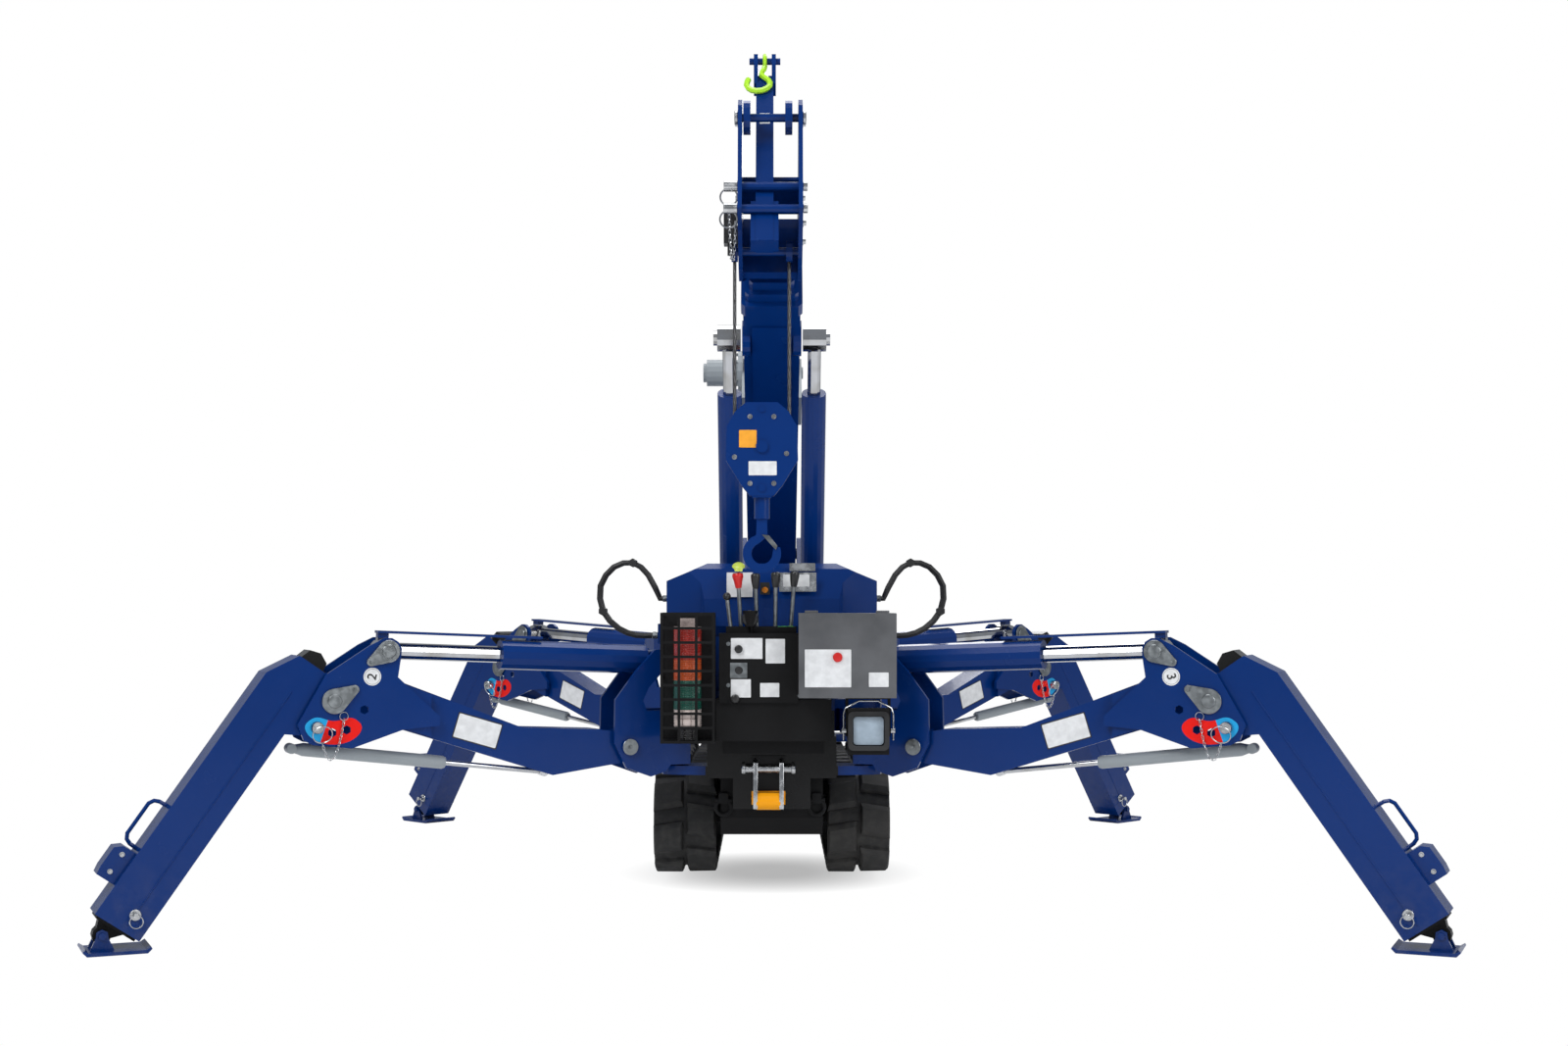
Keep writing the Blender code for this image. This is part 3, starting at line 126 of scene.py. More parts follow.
class Flow:
    """A shader value in arithmetic: each operator adds the Math node that works it out."""

    def __init__(self, finish, socket):
        self.finish = finish
        self.socket = socket

    def math_node(self, kind, *values, clamp=False):
        settings = {"operation": kind, "use_clamp": clamp}
        return self.finish.node("ShaderNodeMath", settings, dict(enumerate(values)))

    __add__, __radd__ = operator("ADD"), operator("ADD", swapped=True)
    __sub__, __rsub__ = operator("SUBTRACT"), operator("SUBTRACT", swapped=True)
    __mul__, __rmul__ = operator("MULTIPLY"), operator("MULTIPLY", swapped=True)
    __truediv__, __pow__ = operator("DIVIDE"), operator("POWER")
    __gt__, __lt__ = operator("GREATER_THAN"), operator("LESS_THAN")

    def __abs__(self):
        return self.math_node("ABSOLUTE", self)

    def sine(self):
        return self.math_node("SINE", self)

    def root(self):
        return self.math_node("SQRT", self)

    def bearing(self, along):
        """The angle in radians of the point (along, self), from the along axis."""
        return self.math_node("ARCTAN2", self, along)

    def between(self, low, high):
        """1 inside the range and 0 outside it."""
        return (self > low) * (self < high)

    def ramp(self, low, high):
        """0 at low, 1 at high, straight between."""
        return self.math_node("MULTIPLY", self - low, 1.0 / (high - low), clamp=True)


# The Mix node's sockets for colours: its share, its two colours, and its output
MIX_SHARE, MIX_FIRST, MIX_SECOND, MIX_COLOUR = 0, 6, 7, 2


class Finish:
    """One material: a Principled shader and the nodes that feed it."""

    def __init__(self, name, colour, rough, metal=0.0, coat=0.0):
        self.material = bpy.data.materials.new(name)
        self.material.use_nodes = True
        self.tree = self.material.node_tree
        self.shader = self.tree.nodes["Principled BSDF"]
        self.set("Base Color", colour)
        self.set("Roughness", rough)
        self.set("Metallic", metal)
        self.set("Coat Weight", coat)

    def give(self, socket, value):
        if isinstance(value, Flow):
            self.tree.links.new(value.socket, socket)
        elif isinstance(value, tuple) and len(value) == 3 and socket.type == "RGBA":
            socket.default_value = (*value, 1.0)
        else:
            socket.default_value = value

    def set(self, name, value):
        self.give(self.shader.inputs[name], value)

    def node(self, kind, settings, sockets, output=0):
        made = self.tree.nodes.new(kind)
        for key, value in settings.items():
            setattr(made, key, value)
        for key, value in sockets.items():
            self.give(made.inputs[key], value)
        return Flow(self, made.outputs[output])

    def place(self, turn=0.0, origin=(0.0, 0.0, 0.0), stretch=(1.0, 1.0, 1.0)):
        """Object coordinates, seen from a stand at origin that is turned about Z."""
        where = self.node("ShaderNodeTexCoord", {}, {}, "Object")
        settings = {"vector_type": "TEXTURE"}
        sockets = {"Vector": where, "Location": origin, "Rotation": (0.0, 0.0, turn), "Scale": stretch}
        return self.node("ShaderNodeMapping", settings, sockets)

    def axes(self, where):
        """The three parts of a vector, each a Flow."""
        return [self.node("ShaderNodeSeparateXYZ", {}, {0: where}, k) for k in range(3)]

    def noise(self, scale, detail=3.0, where=None):
        sockets = {"Scale": scale, "Detail": detail}
        sockets["Vector"] = self.place() if where is None else where
        return self.node("ShaderNodeTexNoise", {}, sockets)

    def mix(self, share, first, second):
        """The first colour where share is 0 and the second where it is 1."""
        sockets = {MIX_SHARE: share, MIX_FIRST: first, MIX_SECOND: second}
        return self.node("ShaderNodeMix", {"data_type": "RGBA"}, sockets, MIX_COLOUR)

    def bump(self, height, distance):
        sockets = {"Height": height, "Distance": distance, "Strength": 1.0}
        self.set("Normal", self.node("ShaderNodeBump", {}, sockets))


def tint(colour, share):
    return tuple(min(1.0, c * share) for c in colour)


BLUE = (0.0010, 0.026, 0.152)
BLACK = (0.0055, 0.0055, 0.0060)
DUST, MATT_BLACK = (0.22, 0.20, 0.17), (0.012, 0.012, 0.012)
PLAIN_SHINE = 0.16


def painted(name, colour, rough=0.20, coat=0.12, extra=None):
    """Sprayed paint: faint cloudiness in the colour, orange peel in the gloss, dust low down."""
    finish = Finish(name, colour, rough, 0.0, coat)
    finish.set("Specular IOR Level", PLAIN_SHINE)
    cloud = finish.noise(2.6, 4.0)
    shade = finish.mix(cloud.ramp(0.3, 0.75), tint(colour, 0.94), tint(colour, 1.07))
    _, _, height = finish.axes(finish.place())
    dusty = (1.0 - height.ramp(0.02, 0.30)) * finish.noise(26.0, 5.0).ramp(0.42, 0.72) * 0.10
    shade = finish.mix(dusty, shade, DUST)
    wear = finish.noise(9.0, 6.0).ramp(0.45, 0.75)
    finish.set("Roughness", rough + wear * 0.10 + dusty * 0.5)
    if extra is not None:
        shade = extra(finish, shade)
    finish.set("Base Color", shade)
    finish.bump(finish.noise(420.0, 2.0) * 0.6 + finish.noise(60.0, 2.0) * 0.4, 0.00012)
    return finish.material


def moulded_rubber(name):
    """Black rubber, scuffed grey where it meets the ground and dusty in patches."""
    finish = Finish(name, MATT_BLACK, 0.78)
    scuff = finish.noise(38.0, 6.0).ramp(0.46, 0.74)
    dust = finish.noise(4.5, 3.0).ramp(0.45, 0.80)
    shade = finish.mix(scuff, (0.010, 0.010, 0.010), (0.040, 0.039, 0.037))
    finish.set("Base Color", finish.mix(dust * 0.5, shade, (0.065, 0.060, 0.053)))
    finish.set("Roughness", 0.66 + scuff * 0.22)
    finish.bump(finish.noise(240.0, 4.0) * 0.7 + scuff * 0.3, 0.0006)
    return finish.material


def mottled(name, colours, cloud, rough, wear, metal=0.0, extra=None, dull=None):
    """A finish whose colour and gloss both go with one soft pattern.

    cloud is the pattern's scale and detail and the range of it that the colour goes over. The
    gloss goes over the range dull, or over the same one."""
    finish = Finish(name, colours[0], rough, metal)
    pattern = finish.noise(*cloud[:2])
    share = pattern.ramp(*cloud[2:])
    shade = finish.mix(share, *colours)
    if extra is not None:
        shade = extra(finish, shade)
    finish.set("Base Color", shade)
    finish.set("Roughness", rough + (pattern.ramp(*dull) if dull else share) * wear)
    return finish


def powder_coated(name, colour, rough=0.42):
    """Stoved black or grey coating with a fine even grain."""
    colours = tint(colour, 0.80), tint(colour, 1.30)
    finish = mottled(name, colours, (7.0, 4.0, 0.35, 0.70), rough, 0.14, dull=(0.3, 0.8))
    finish.set("Specular IOR Level", PLAIN_SHINE)
    finish.bump(finish.noise(900.0, 2.0), 0.00020)
    return finish.material


def zinc(name, colour, rough=0.34):
    """Plated steel with a faint brushed grain and dull patches."""
    colours = tint(colour, 0.78), tint(colour, 1.15)
    finish = mottled(name, colours, (55.0, 4.0, 0.40, 0.70), rough - 0.06, 0.18, 1.0)
    finish.bump(finish.noise(180.0, 2.0, finish.place(stretch=(0.12, 1.0, 1.0))), 0.00010)
    return finish.material


def chromed(name, extra=None):
    """Ground and plated rod: nearly mirror bright, with very fine marks and a thin oil film."""
    colours = (0.52, 0.53, 0.55), (0.38, 0.37, 0.35)
    finish = mottled(name, colours, (14.0, 4.0, 0.45, 0.75), 0.09, 0.13, 1.0, extra)
    finish.bump(finish.noise(700.0, 1.0), 0.00002)
    return finish.material


STRANDS = 6


def stranded(name):
    """Greased wire rope: strands wind round it, by u round the rope and v in turns along it."""
    finish = Finish(name, (0.10, 0.10, 0.105), 0.42, 1.0)
    u, v, _ = finish.axes(finish.node("ShaderNodeTexCoord", {}, {}, "UV"))
    strand = ((u * STRANDS + v) * (2 * pi)).sine() * 0.5 + 0.5
    grease = finish.noise(90.0, 3.0).ramp(0.40, 0.70)
    shade = finish.mix(strand, (0.020, 0.020, 0.020), (0.26, 0.26, 0.27))
    finish.set("Base Color", finish.mix(grease * 0.5, shade, (0.035, 0.030, 0.024)))
    finish.set("Roughness", 0.34 + grease * 0.30)
    finish.bump(strand, 0.0010)
    return finish.material


def smooth_plastic(name, colour, rough=0.35, grain=0.00010):
    """Moulded plastic or enamel, faintly mottled."""
    colours = tint(colour, 0.90), tint(colour, 1.08)
    finish = mottled(name, colours, (45.0, 3.0, 0.35, 0.70), rough, 0.10)
    finish.bump(finish.noise(500.0, 2.0), grain)
    return finish.material


# Each band of the lenses: from a height to a height, its colour, and the share of it that glows
LENS_BANDS = (
    (0.560, 0.600, (0.015, 0.015, 0.016), 0.0), (0.600, 0.652, (0.70, 0.60, 0.56), 0.0),
    (0.652, 0.740, (0.000, 0.075, 0.050), 0.5), (0.740, 0.802, (0.42, 0.060, 0.006), 0.8),
    (0.802, 0.900, (0.30, 0.012, 0.005), 0.6), (0.900, 0.930, (0.62, 0.50, 0.46), 0.0),
)
RIB_PITCH, FACET_PITCH = 0.0062, 0.0090


def lamp_glass(name):
    """Stacked coloured lenses with pressed ribs: the colour goes by height."""
    finish = Finish(name, (0.3, 0.02, 0.01), 0.12, 0.0, 0.6)
    x, _, z = finish.axes(finish.place())
    shade, glow = (0.02, 0.02, 0.02), (0.0, 0.0, 0.0)
    for low, high, colour, lit in LENS_BANDS:
        here = z.between(low, high)
        shade = finish.mix(here, shade, colour)
        glow = finish.mix(here, glow, tint(colour, lit))
    rib = (z * (2 * pi / RIB_PITCH)).sine() * 0.5 + 0.5
    facet = (x * (2 * pi / FACET_PITCH)).sine() * 0.5 + 0.5
    finish.set("Base Color", finish.mix(rib * 0.45, shade, (0.01, 0.005, 0.005)))
    finish.set("Emission Color", glow)
    finish.shader.inputs["Emission Strength"].default_value = 0.35
    finish.bump(rib + facet * 0.6, 0.0012)
    return finish.material


def leg_axes(finish, leg):
    """(r, side, z) of a leg's own frame at the point that is shaded."""
    origin, out, _ = STANDS[leg]
    return finish.axes(finish.place(atan2(out[1], out[0]), tuple(origin)))


def leg_patch(leg):
    """Cyan and red fields round the knee's lock holes, on both knee plates of one leg.

    The field is a band of an arc with rounded corners: the powers of the distance from the
    arc, in half widths, and of the angle from its middle, in half spans, add up to under 1."""
    def laid(finish, shade):
        r, side, z = leg_axes(finish, leg)
        dr, dz = r - KNEE[0], z - KNEE[1]
        reach = (dr * dr + dz * dz).root()
        bearing = dz.bearing(dr) * (180.0 / pi)
        band = abs((reach - LOCK_REACH) / PATCH_HALF_WIDTH)
        swing = abs((bearing - PATCH_MIDDLE) / PATCH_HALF_SPAN)
        field = ((band ** 2.6 + swing ** 4.0) < 1.0) * (abs(side) > KNEE_FACE - 0.002)
        shade = finish.mix(field, shade, (0.78, 0.010, 0.006))
        return finish.mix(field * (bearing > CYAN_FROM), shade, (0.02, 0.36, 0.72))

    return laid


def knee_cap(leg):
    """The lower leg's stop at the knee is black rubber."""
    def laid(finish, shade):
        r, _, z = leg_axes(finish, leg)
        along = (r - KNEE[0]) * cos(LEG_DIR) + (z - KNEE[1]) * sin(LEG_DIR)
        over = (z - KNEE[1]) * cos(LEG_DIR) - (r - KNEE[0]) * sin(LEG_DIR)
        return finish.mix((along < CAP_ALONG) * (over > CAP_OVER), shade, MATT_BLACK)

    return laid


def guard_strap(leg):
    """The strap over a lift cylinder's rod and its stud are painted, the rod below is bare."""
    def laid(finish, shade):
        r, _, z = leg_axes(finish, leg)
        tilt = atan2(LIFT_OUT[1] - LIFT_IN[1], LIFT_OUT[0] - LIFT_IN[0])
        over = (z - LIFT_OUT[1]) * cos(tilt) - (r - LIFT_OUT[0]) * sin(tilt)
        strap = over > STRAP_FOOT
        finish.set("Metallic", 1.0 - strap)
        return finish.mix(strap, shade, BLUE)

    return laid


def within(value, low, high, edge=0.0006):
    """1 between low and high, 0 outside, with soft edges."""
    return value.ramp(low - edge, low + edge) * (1.0 - value.ramp(high - edge, high + edge))


def front_panel(finish, shade):
    """The middle of the frame's front is black, from under the console down."""
    x, y, z = finish.axes(finish.place())
    here = within(x, -PANEL_X, PANEL_X) * within(y, -2.0, PANEL_BACK) * within(z, 0.0, PANEL_TOP)
    return finish.mix(here, shade, BLACK)


def towing_roller(finish, shade):
    """Yellow roller at the foot of a black bracket."""
    _, _, z = finish.axes(finish.place())
    return finish.mix(within(z, ROLLER_TOP, 1.0), shade, BLACK)


JOINTS = {joint["name"]: joint for joint in frame["joints"]}
MOUNTS = {mount["name"]: mount for mount in frame["record"]["mounts"]}


def stand_of(leg):
    """(origin on the ground under the swing pin, unit vector outwards, unit vector across)."""
    origin = at(*JOINTS[leg + "_swing"]["pos_m"][:2], 0)
    out = unit(at(*MOUNTS[leg + "_foot"]["pos_m"][:2], 0) - origin)
    return origin, out, at(-out[1], out[0], 0.0)


STANDS = {leg: stand_of(leg) for leg in LEG_NUMBERS}
EAST, NORTH, UP = at(1, 0, 0), at(0, 1, 0), at(0, 0, 1)

PAINT = painted("blue_paint", BLUE)
COATING = powder_coated("black_coating", BLACK)
BOX_GREY = powder_coated("grey_box", (0.105, 0.108, 0.115), 0.50)
RUBBER = moulded_rubber("track_rubber")
HOSE = smooth_plastic("hose_rubber", (0.012, 0.012, 0.013), 0.45)
ZINC = zinc("plated_steel", (0.27, 0.29, 0.30))
BRIGHT = zinc("bright_steel", (0.56, 0.57, 0.58), 0.24)
STEEL_GREY = painted("winch_grey", (0.30, 0.33, 0.35), 0.40, 0.1)
CHROME = chromed("chromed_rod")
ROPE = stranded("wire_rope")
LIME = painted("lime_paint", (0.42, 0.78, 0.03), 0.30, 0.4)
YELLOW = painted("yellow_paint", (0.90, 0.36, 0.005), 0.45, 0.1, extra=towing_roller)
FRAME_PAINT = painted("frame_paint", BLUE, extra=front_panel)
LENSES = lamp_glass("lamp_lenses")
WHITE = smooth_plastic("white_plate", (0.74, 0.75, 0.76), 0.40)
INK = smooth_plastic("black_ink", (0.012, 0.012, 0.013), 0.50)
KNOB = smooth_plastic("black_knob", (0.014, 0.014, 0.015), 0.30)
RED = smooth_plastic("red_knob", (0.62, 0.010, 0.008), 0.30)
AMBER = smooth_plastic("amber_knob", (0.90, 0.28, 0.01), 0.25)
ORANGE = smooth_plastic("orange_plate", (0.86, 0.36, 0.02), 0.40)
GLASS = smooth_plastic("lamp_front", (0.34, 0.42, 0.50), 0.06, 0.0004)
GREEN = smooth_plastic("level_green", (0.18, 0.80, 0.16), 0.20)
BEACON = smooth_plastic("beacon_dome", (0.60, 0.72, 0.10), 0.12, 0.0004)


# Pieces
def put(name, data):
    """A new object in the scene."""
    made = bpy.data.objects.new(name, data)
    bpy.context.scene.collection.objects.link(made)
    return made


class Piece:
    """One object, built up from closed skins, in place."""

    def __init__(self, name, looks, body="chassis", slot=None):
        self.name, self.looks, self.body, self.slot = name, looks, body, slot
        self.points, self.faces, self.turns, self.count = [], [], [], 0

    def add(self, grid, loop=False, turns=None):
        """A grid of stations by ring points, closed round the ring, and end to end as a loop or by caps.

        turns is how far a rope's strands have wound at each station."""
        grid = np.asarray(grid, float)
        stations, ring = grid.shape[:2]
        index = np.arange(stations * ring).reshape(stations, ring) + self.count
        follow = np.roll(index, -1, axis=0) if loop else index[1:]
        here = index if loop else index[:-1]
        quads = (here, np.roll(here, -1, axis=1), np.roll(follow, -1, axis=1), follow)
        self.faces += np.stack(quads, -1).reshape(-1, 4).tolist()
        if not loop:
            self.faces += [index[0, ::-1].tolist(), index[-1].tolist()]
        self.points.append(grid.reshape(-1, 3))
        rounds = np.zeros(stations) if turns is None else turns
        laid = np.broadcast_arrays(np.arange(ring) / ring, rounds[:, None])
        self.turns.append(np.stack(laid, -1).reshape(-1, 2))
        self.count += stations * ring
        return self

    def done(self, *replaced):
        """The mesh, its faces looking outwards and its edges over 35 degrees kept sharp."""
        mesh = bpy.data.meshes.new(self.name)
        mesh.from_pydata(np.concatenate(self.points).tolist(), [], self.faces)
        layer = mesh.uv_layers.new(name="UVMap")
        corner = np.empty(len(mesh.loops), int)
        mesh.loops.foreach_get("vertex_index", corner)
        layer.data.foreach_set("uv", np.concatenate(self.turns)[corner].ravel())
        skin = bmesh.new()
        skin.from_mesh(mesh)
        bmesh.ops.recalc_face_normals(skin, faces=skin.faces)
        skin.to_mesh(mesh)
        skin.free()
        mesh.shade_smooth()
        mesh.set_sharp_from_angle(angle=radians(35))
        mesh.materials.append(self.looks)
        made = put(self.name, mesh)
        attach(made, self.body)
        if replaced:
            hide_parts(*replaced)
        return made


def round_angles(count):
    """Angles at equal steps over a whole turn."""
    return np.linspace(0, 2 * pi, count, endpoint=False)


def frame_round(way):
    """Two unit vectors square to each way and to each other."""
    way = unit(way)
    helper = np.where(np.abs(way[..., 2:]) > 0.9, at(1, 0, 0), UP)
    side = unit(np.cross(way, helper))
    return side, np.cross(side, way)


def turned(start, end, profile, sides=24):
    """Revolved: profile is (s, r) pairs, each a ring of radius r at a share s of the way to end."""
    start, end = np.asarray(start, float), np.asarray(end, float)
    side, over = frame_round(end - start)
    s, r = np.array(profile, float).T
    a = round_angles(sides)
    spoke = np.cos(a)[:, None] * side + np.sin(a)[:, None] * over
    return start + s[:, None, None] * (end - start) + r[:, None, None] * spoke


def drum(start, end, radius, edge=0.001, sides=24):
    """A cylinder whose rims are turned off by edge."""
    cut, rim = edge / np.linalg.norm(np.subtract(end, start)), radius - edge
    return turned(start, end, ((0, rim), (cut, radius), (1 - cut, radius), (1, rim)), sides)


def swept(path, radius, sides=10, ring_over=None):
    """A round tube: a circle square to the path at each of its points.

    The circles start square to ring_over, a direction that the path never takes, where one is given."""
    path = np.asarray(path, float)
    way = unit(np.gradient(path, axis=0))
    if ring_over is None:
        side, over = frame_round(way)
    else:
        side = unit(np.cross(way, ring_over))
        over = np.cross(side, way)
    a = round_angles(sides)
    return path[:, None] + radius * (
        np.cos(a)[None, :, None] * side[:, None] + np.sin(a)[None, :, None] * over[:, None]
    )


def slab(outline, origin, along, over, thick, edge=0.0008):
    """A flat outline, raised by thick along the cross product of along and over, its rims eased by edge."""
    outline = np.asarray(outline, float)
    middle = outline.mean(axis=0)
    size = np.linalg.norm(outline - middle, axis=1).mean()
    normal = np.cross(along, over)
    steps = np.array(((1 - edge / size, 0), (1, edge), (1, thick - edge), (1 - edge / size, thick)))
    flat = middle + (outline - middle)[None] * steps[:, 0, None, None]
    lifted = steps[:, 1, None, None] * np.asarray(normal)
    return np.asarray(origin) + flat[..., :1] * along + flat[..., 1:] * over + lifted


def arc(radius, a):
    """Points at the angles a of a circle round the middle."""
    return radius * np.stack((np.cos(a), np.sin(a)), -1)


def rectangle(width, height, corner, steps=4):
    """A rectangle round its middle, with corners as quarter circles."""
    a = np.linspace(0, pi / 2, steps)
    found = []
    for k, (sx, sy) in enumerate(((1, 1), (-1, 1), (-1, -1), (1, -1))):
        centre = np.array((sx * (width / 2 - corner), sy * (height / 2 - corner)))
        found.append(centre + arc(corner, a + k * pi / 2))
    return np.concatenate(found)


def plate(width, height, corner, spot, thick, edge=0.0002, along=EAST, over=UP):
    """A rectangular plate whose back stands round spot."""
    return slab(rectangle(width, height, corner), spot, along, over, thick, edge)


def disc(radius, sides=32):
    return arc(radius, round_angles(sides))


def teardrop(radius, tip, tip_radius, steps=13):
    """Two circles, one at the middle and one at the tip, joined by their common tangents.

    A tangent leaves each circle at the angle, from the line of centres, whose cosine is the
    difference of the radii over the distance of the centres."""
    tip = np.asarray(tip, float)
    reach = np.linalg.norm(tip)
    bearing = atan2(tip[1], tip[0])
    lean = acos((radius - tip_radius) / reach)
    near = bearing + np.linspace(lean, 2 * pi - lean, 2 * steps)
    far = bearing + np.linspace(-lean, lean, steps)
    return np.concatenate((arc(radius, near), tip + arc(tip_radius, far)))


def add_bolt(piece, seat, normal, across=0.012, height=0.006):
    """A six-sided bolt head on a washer, standing on a face."""
    seat, normal = np.asarray(seat, float), unit(normal)
    piece.add(turned(seat, seat + normal * 0.0015, ((0, across * 0.80), (1, across * 0.80)), 16))
    flank = ((0, across * 0.56), (0.8, across * 0.56), (1, across * 0.48))
    piece.add(turned(seat + normal * 0.0012, seat + normal * height, flank, 6))


def bolt_circle(piece, count, centre, along, over, radius, normal, across, height):
    """Bolts at equal steps round a circle in the plane of along and over, the first one along."""
    for k in range(count):
        a = 2 * pi * k / count
        seat = centre + radius * (cos(a) * along + sin(a) * over)
        add_bolt(piece, seat, normal, across, height)


# A chain's links: the turn of the first, and half the straight stretch in shares of the pitch
LINK_TWIST, LINK_STRETCH = 0.35, 0.35


def add_chain(piece, path, pitch=0.009, wire=0.0011, loop_half=0.0030):
    """Rounded links at equal steps along a path, each a quarter turn from the last.

    A link is a torus drawn out: its middle line is a circle of radius loop_half plus a straight
    stretch along the chain, and its cross-section a circle of radius wire."""
    path = np.asarray(path, float)
    far = np.concatenate(([0.0], np.cumsum(np.linalg.norm(np.diff(path, axis=0), axis=1))))
    count = max(2, int(far[-1] / pitch))
    where = np.linspace(0, far[-1], count)
    spots = np.stack([np.interp(where, far, path[:, k]) for k in range(3)], -1)
    way = unit(np.gradient(spots, axis=0))
    side, over = frame_round(way)
    turn = (np.arange(count) % 2)[:, None] * pi / 2 + LINK_TWIST
    flat = np.cos(turn) * side + np.sin(turn) * over
    out = np.cross(flat, way)
    a = round_angles(10)[:, None]
    b = round_angles(5)
    reach = loop_half + wire * np.cos(b)
    ring = np.cos(a) * reach + np.sign(np.cos(a)) * pitch * LINK_STRETCH
    shares = (ring, np.sin(a) * reach, np.broadcast_to(wire * np.sin(b), ring.shape))
    for spot, *ways in zip(spots, way, flat, out):
        link = spot + sum(share[..., None] * one for share, one in zip(shares, ways))
        piece.add(link, loop=True)


def drooped(start, end, drop, steps=24):
    """A hanging line between two points: a parabola that sags by drop in the middle."""
    s = np.linspace(0, 1, steps)[:, None]
    line = np.asarray(start) * (1 - s) + np.asarray(end) * s
    return line - 4 * s * (1 - s) * drop * UP


def hoop(centre, along, over, radius, wire, sides=6, steps=28, start=0.0, end=360.0):
    """A wire ring, or a part of one, in the plane of along and over."""
    whole = end - start >= 360.0
    a = np.radians(np.linspace(start, end, steps, endpoint=not whole))[:, None]
    normal = np.cross(along, over)
    spoke = np.cos(a) * along + np.sin(a) * over
    b = round_angles(sides)[None, :, None]
    return np.asarray(centre) + spoke[:, None] * (radius + wire * np.cos(b)) + wire * np.sin(b) * normal


# Node finishes
LOOKS = {
    "track_left": RUBBER, "track_right": RUBBER, "undercarriage": COATING, "console": COATING,
    "remote_box": BOX_GREY, "lamp_cage": COATING, "lamp_tower": LENSES, "work_lamp": COATING,
    "tow_roller": YELLOW, "hose_loop_left": HOSE, "hose_loop_right": HOSE, "luff_rod_left": CHROME,
    "luff_rod_right": CHROME, "jib_hook": LIME, "winch_motor": STEEL_GREY, "hoist_rope": ROPE,
    "limit_switch": KNOB, "upper_frame": FRAME_PAINT,
}
for name, node in frame["nodes"].items():
    looks = LOOKS.get(name, PAINT)
    if name.endswith("_lift_rod"):
        looks = chromed(name + "_plating", guard_strap(name[:-9]))
    elif name.endswith("_inner_leg"):
        looks = COATING
    elif name.endswith("_arm"):
        looks = painted(name + "_paint", BLUE, extra=leg_patch(name[:-4]))
    elif name.endswith("_lower_leg"):
        looks = painted(name + "_paint", BLUE, extra=knee_cap(name[:-10]))
    node.data.materials.clear()
    node.data.materials.append(looks)
    node.data.shade_smooth()
    node.data.set_sharp_from_angle(angle=radians(32))


# Legs
def leg_spot(leg, r, side, z):
    """A point of a leg's own frame: r outwards, side across, z up."""
    origin, out, across = STANDS[leg]
    return origin + r * out + side * across + z * UP


def down_leg(along, over):
    """(r, z) of a point along the lower leg and square to it, from the knee."""
    c, s = cos(LEG_DIR), sin(LEG_DIR)
    return KNEE[0] + along * c - over * s, KNEE[1] + along * s + over * c


def numeral(name, figure, centre, along, over, size, body):
    """A plain figure as a thin solid in the plane of along and over."""
    curve = bpy.data.curves.new(name, "FONT")
    curve.body = figure
    curve.size = size
    curve.align_x = curve.align_y = "CENTER"
    curve.extrude = 0.0003
    curve.offset = size * 0.012
    shown = put(name, curve)
    bpy.context.view_layer.update()
    solid = shown.evaluated_get(bpy.context.evaluated_depsgraph_get())
    mesh = bpy.data.meshes.new_from_object(solid)
    bpy.data.objects.remove(shown)
    normal = np.cross(along, over)
    place = np.eye(4)
    place[:3] = np.stack((along, over, normal, centre), -1)
    mesh.transform(Matrix(place.tolist()))
    mesh.materials.clear()
    mesh.materials.append(INK)
    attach(put(name, mesh), body)


# Each keeper plate of a pin: the pin, its own bolt from there, and its radius round the pin
KEEPERS = ((KNEE, (-0.058, 0.033), 0.037), (LIFT_OUT, (0.052, -0.030), 0.033))
KEEPER_OFF, KEEPER_THICK = 0.0035, 0.0045
STICKER_AT, STICKER_R, STICKER_LEAN = (0.978, 0.760), 0.026, radians(75.0)
PLATE_AT, PLATE_SLOPE = (0.655, 0.592), radians(17.0)
LOCK_END, EYE_OFF, RING_LEAN = 0.106, 0.099, 0.5
STRUT_OUT, STRUT_IN = (1.199, 0.553), (0.437, 0.459)
FOLDED = radians(-110.0)


def leaned(along, over, angle):
    """Two directions square to each other, turned by an angle in their own plane."""
    c, s = cos(angle), sin(angle)
    return c * along + s * over, c * over - s * along


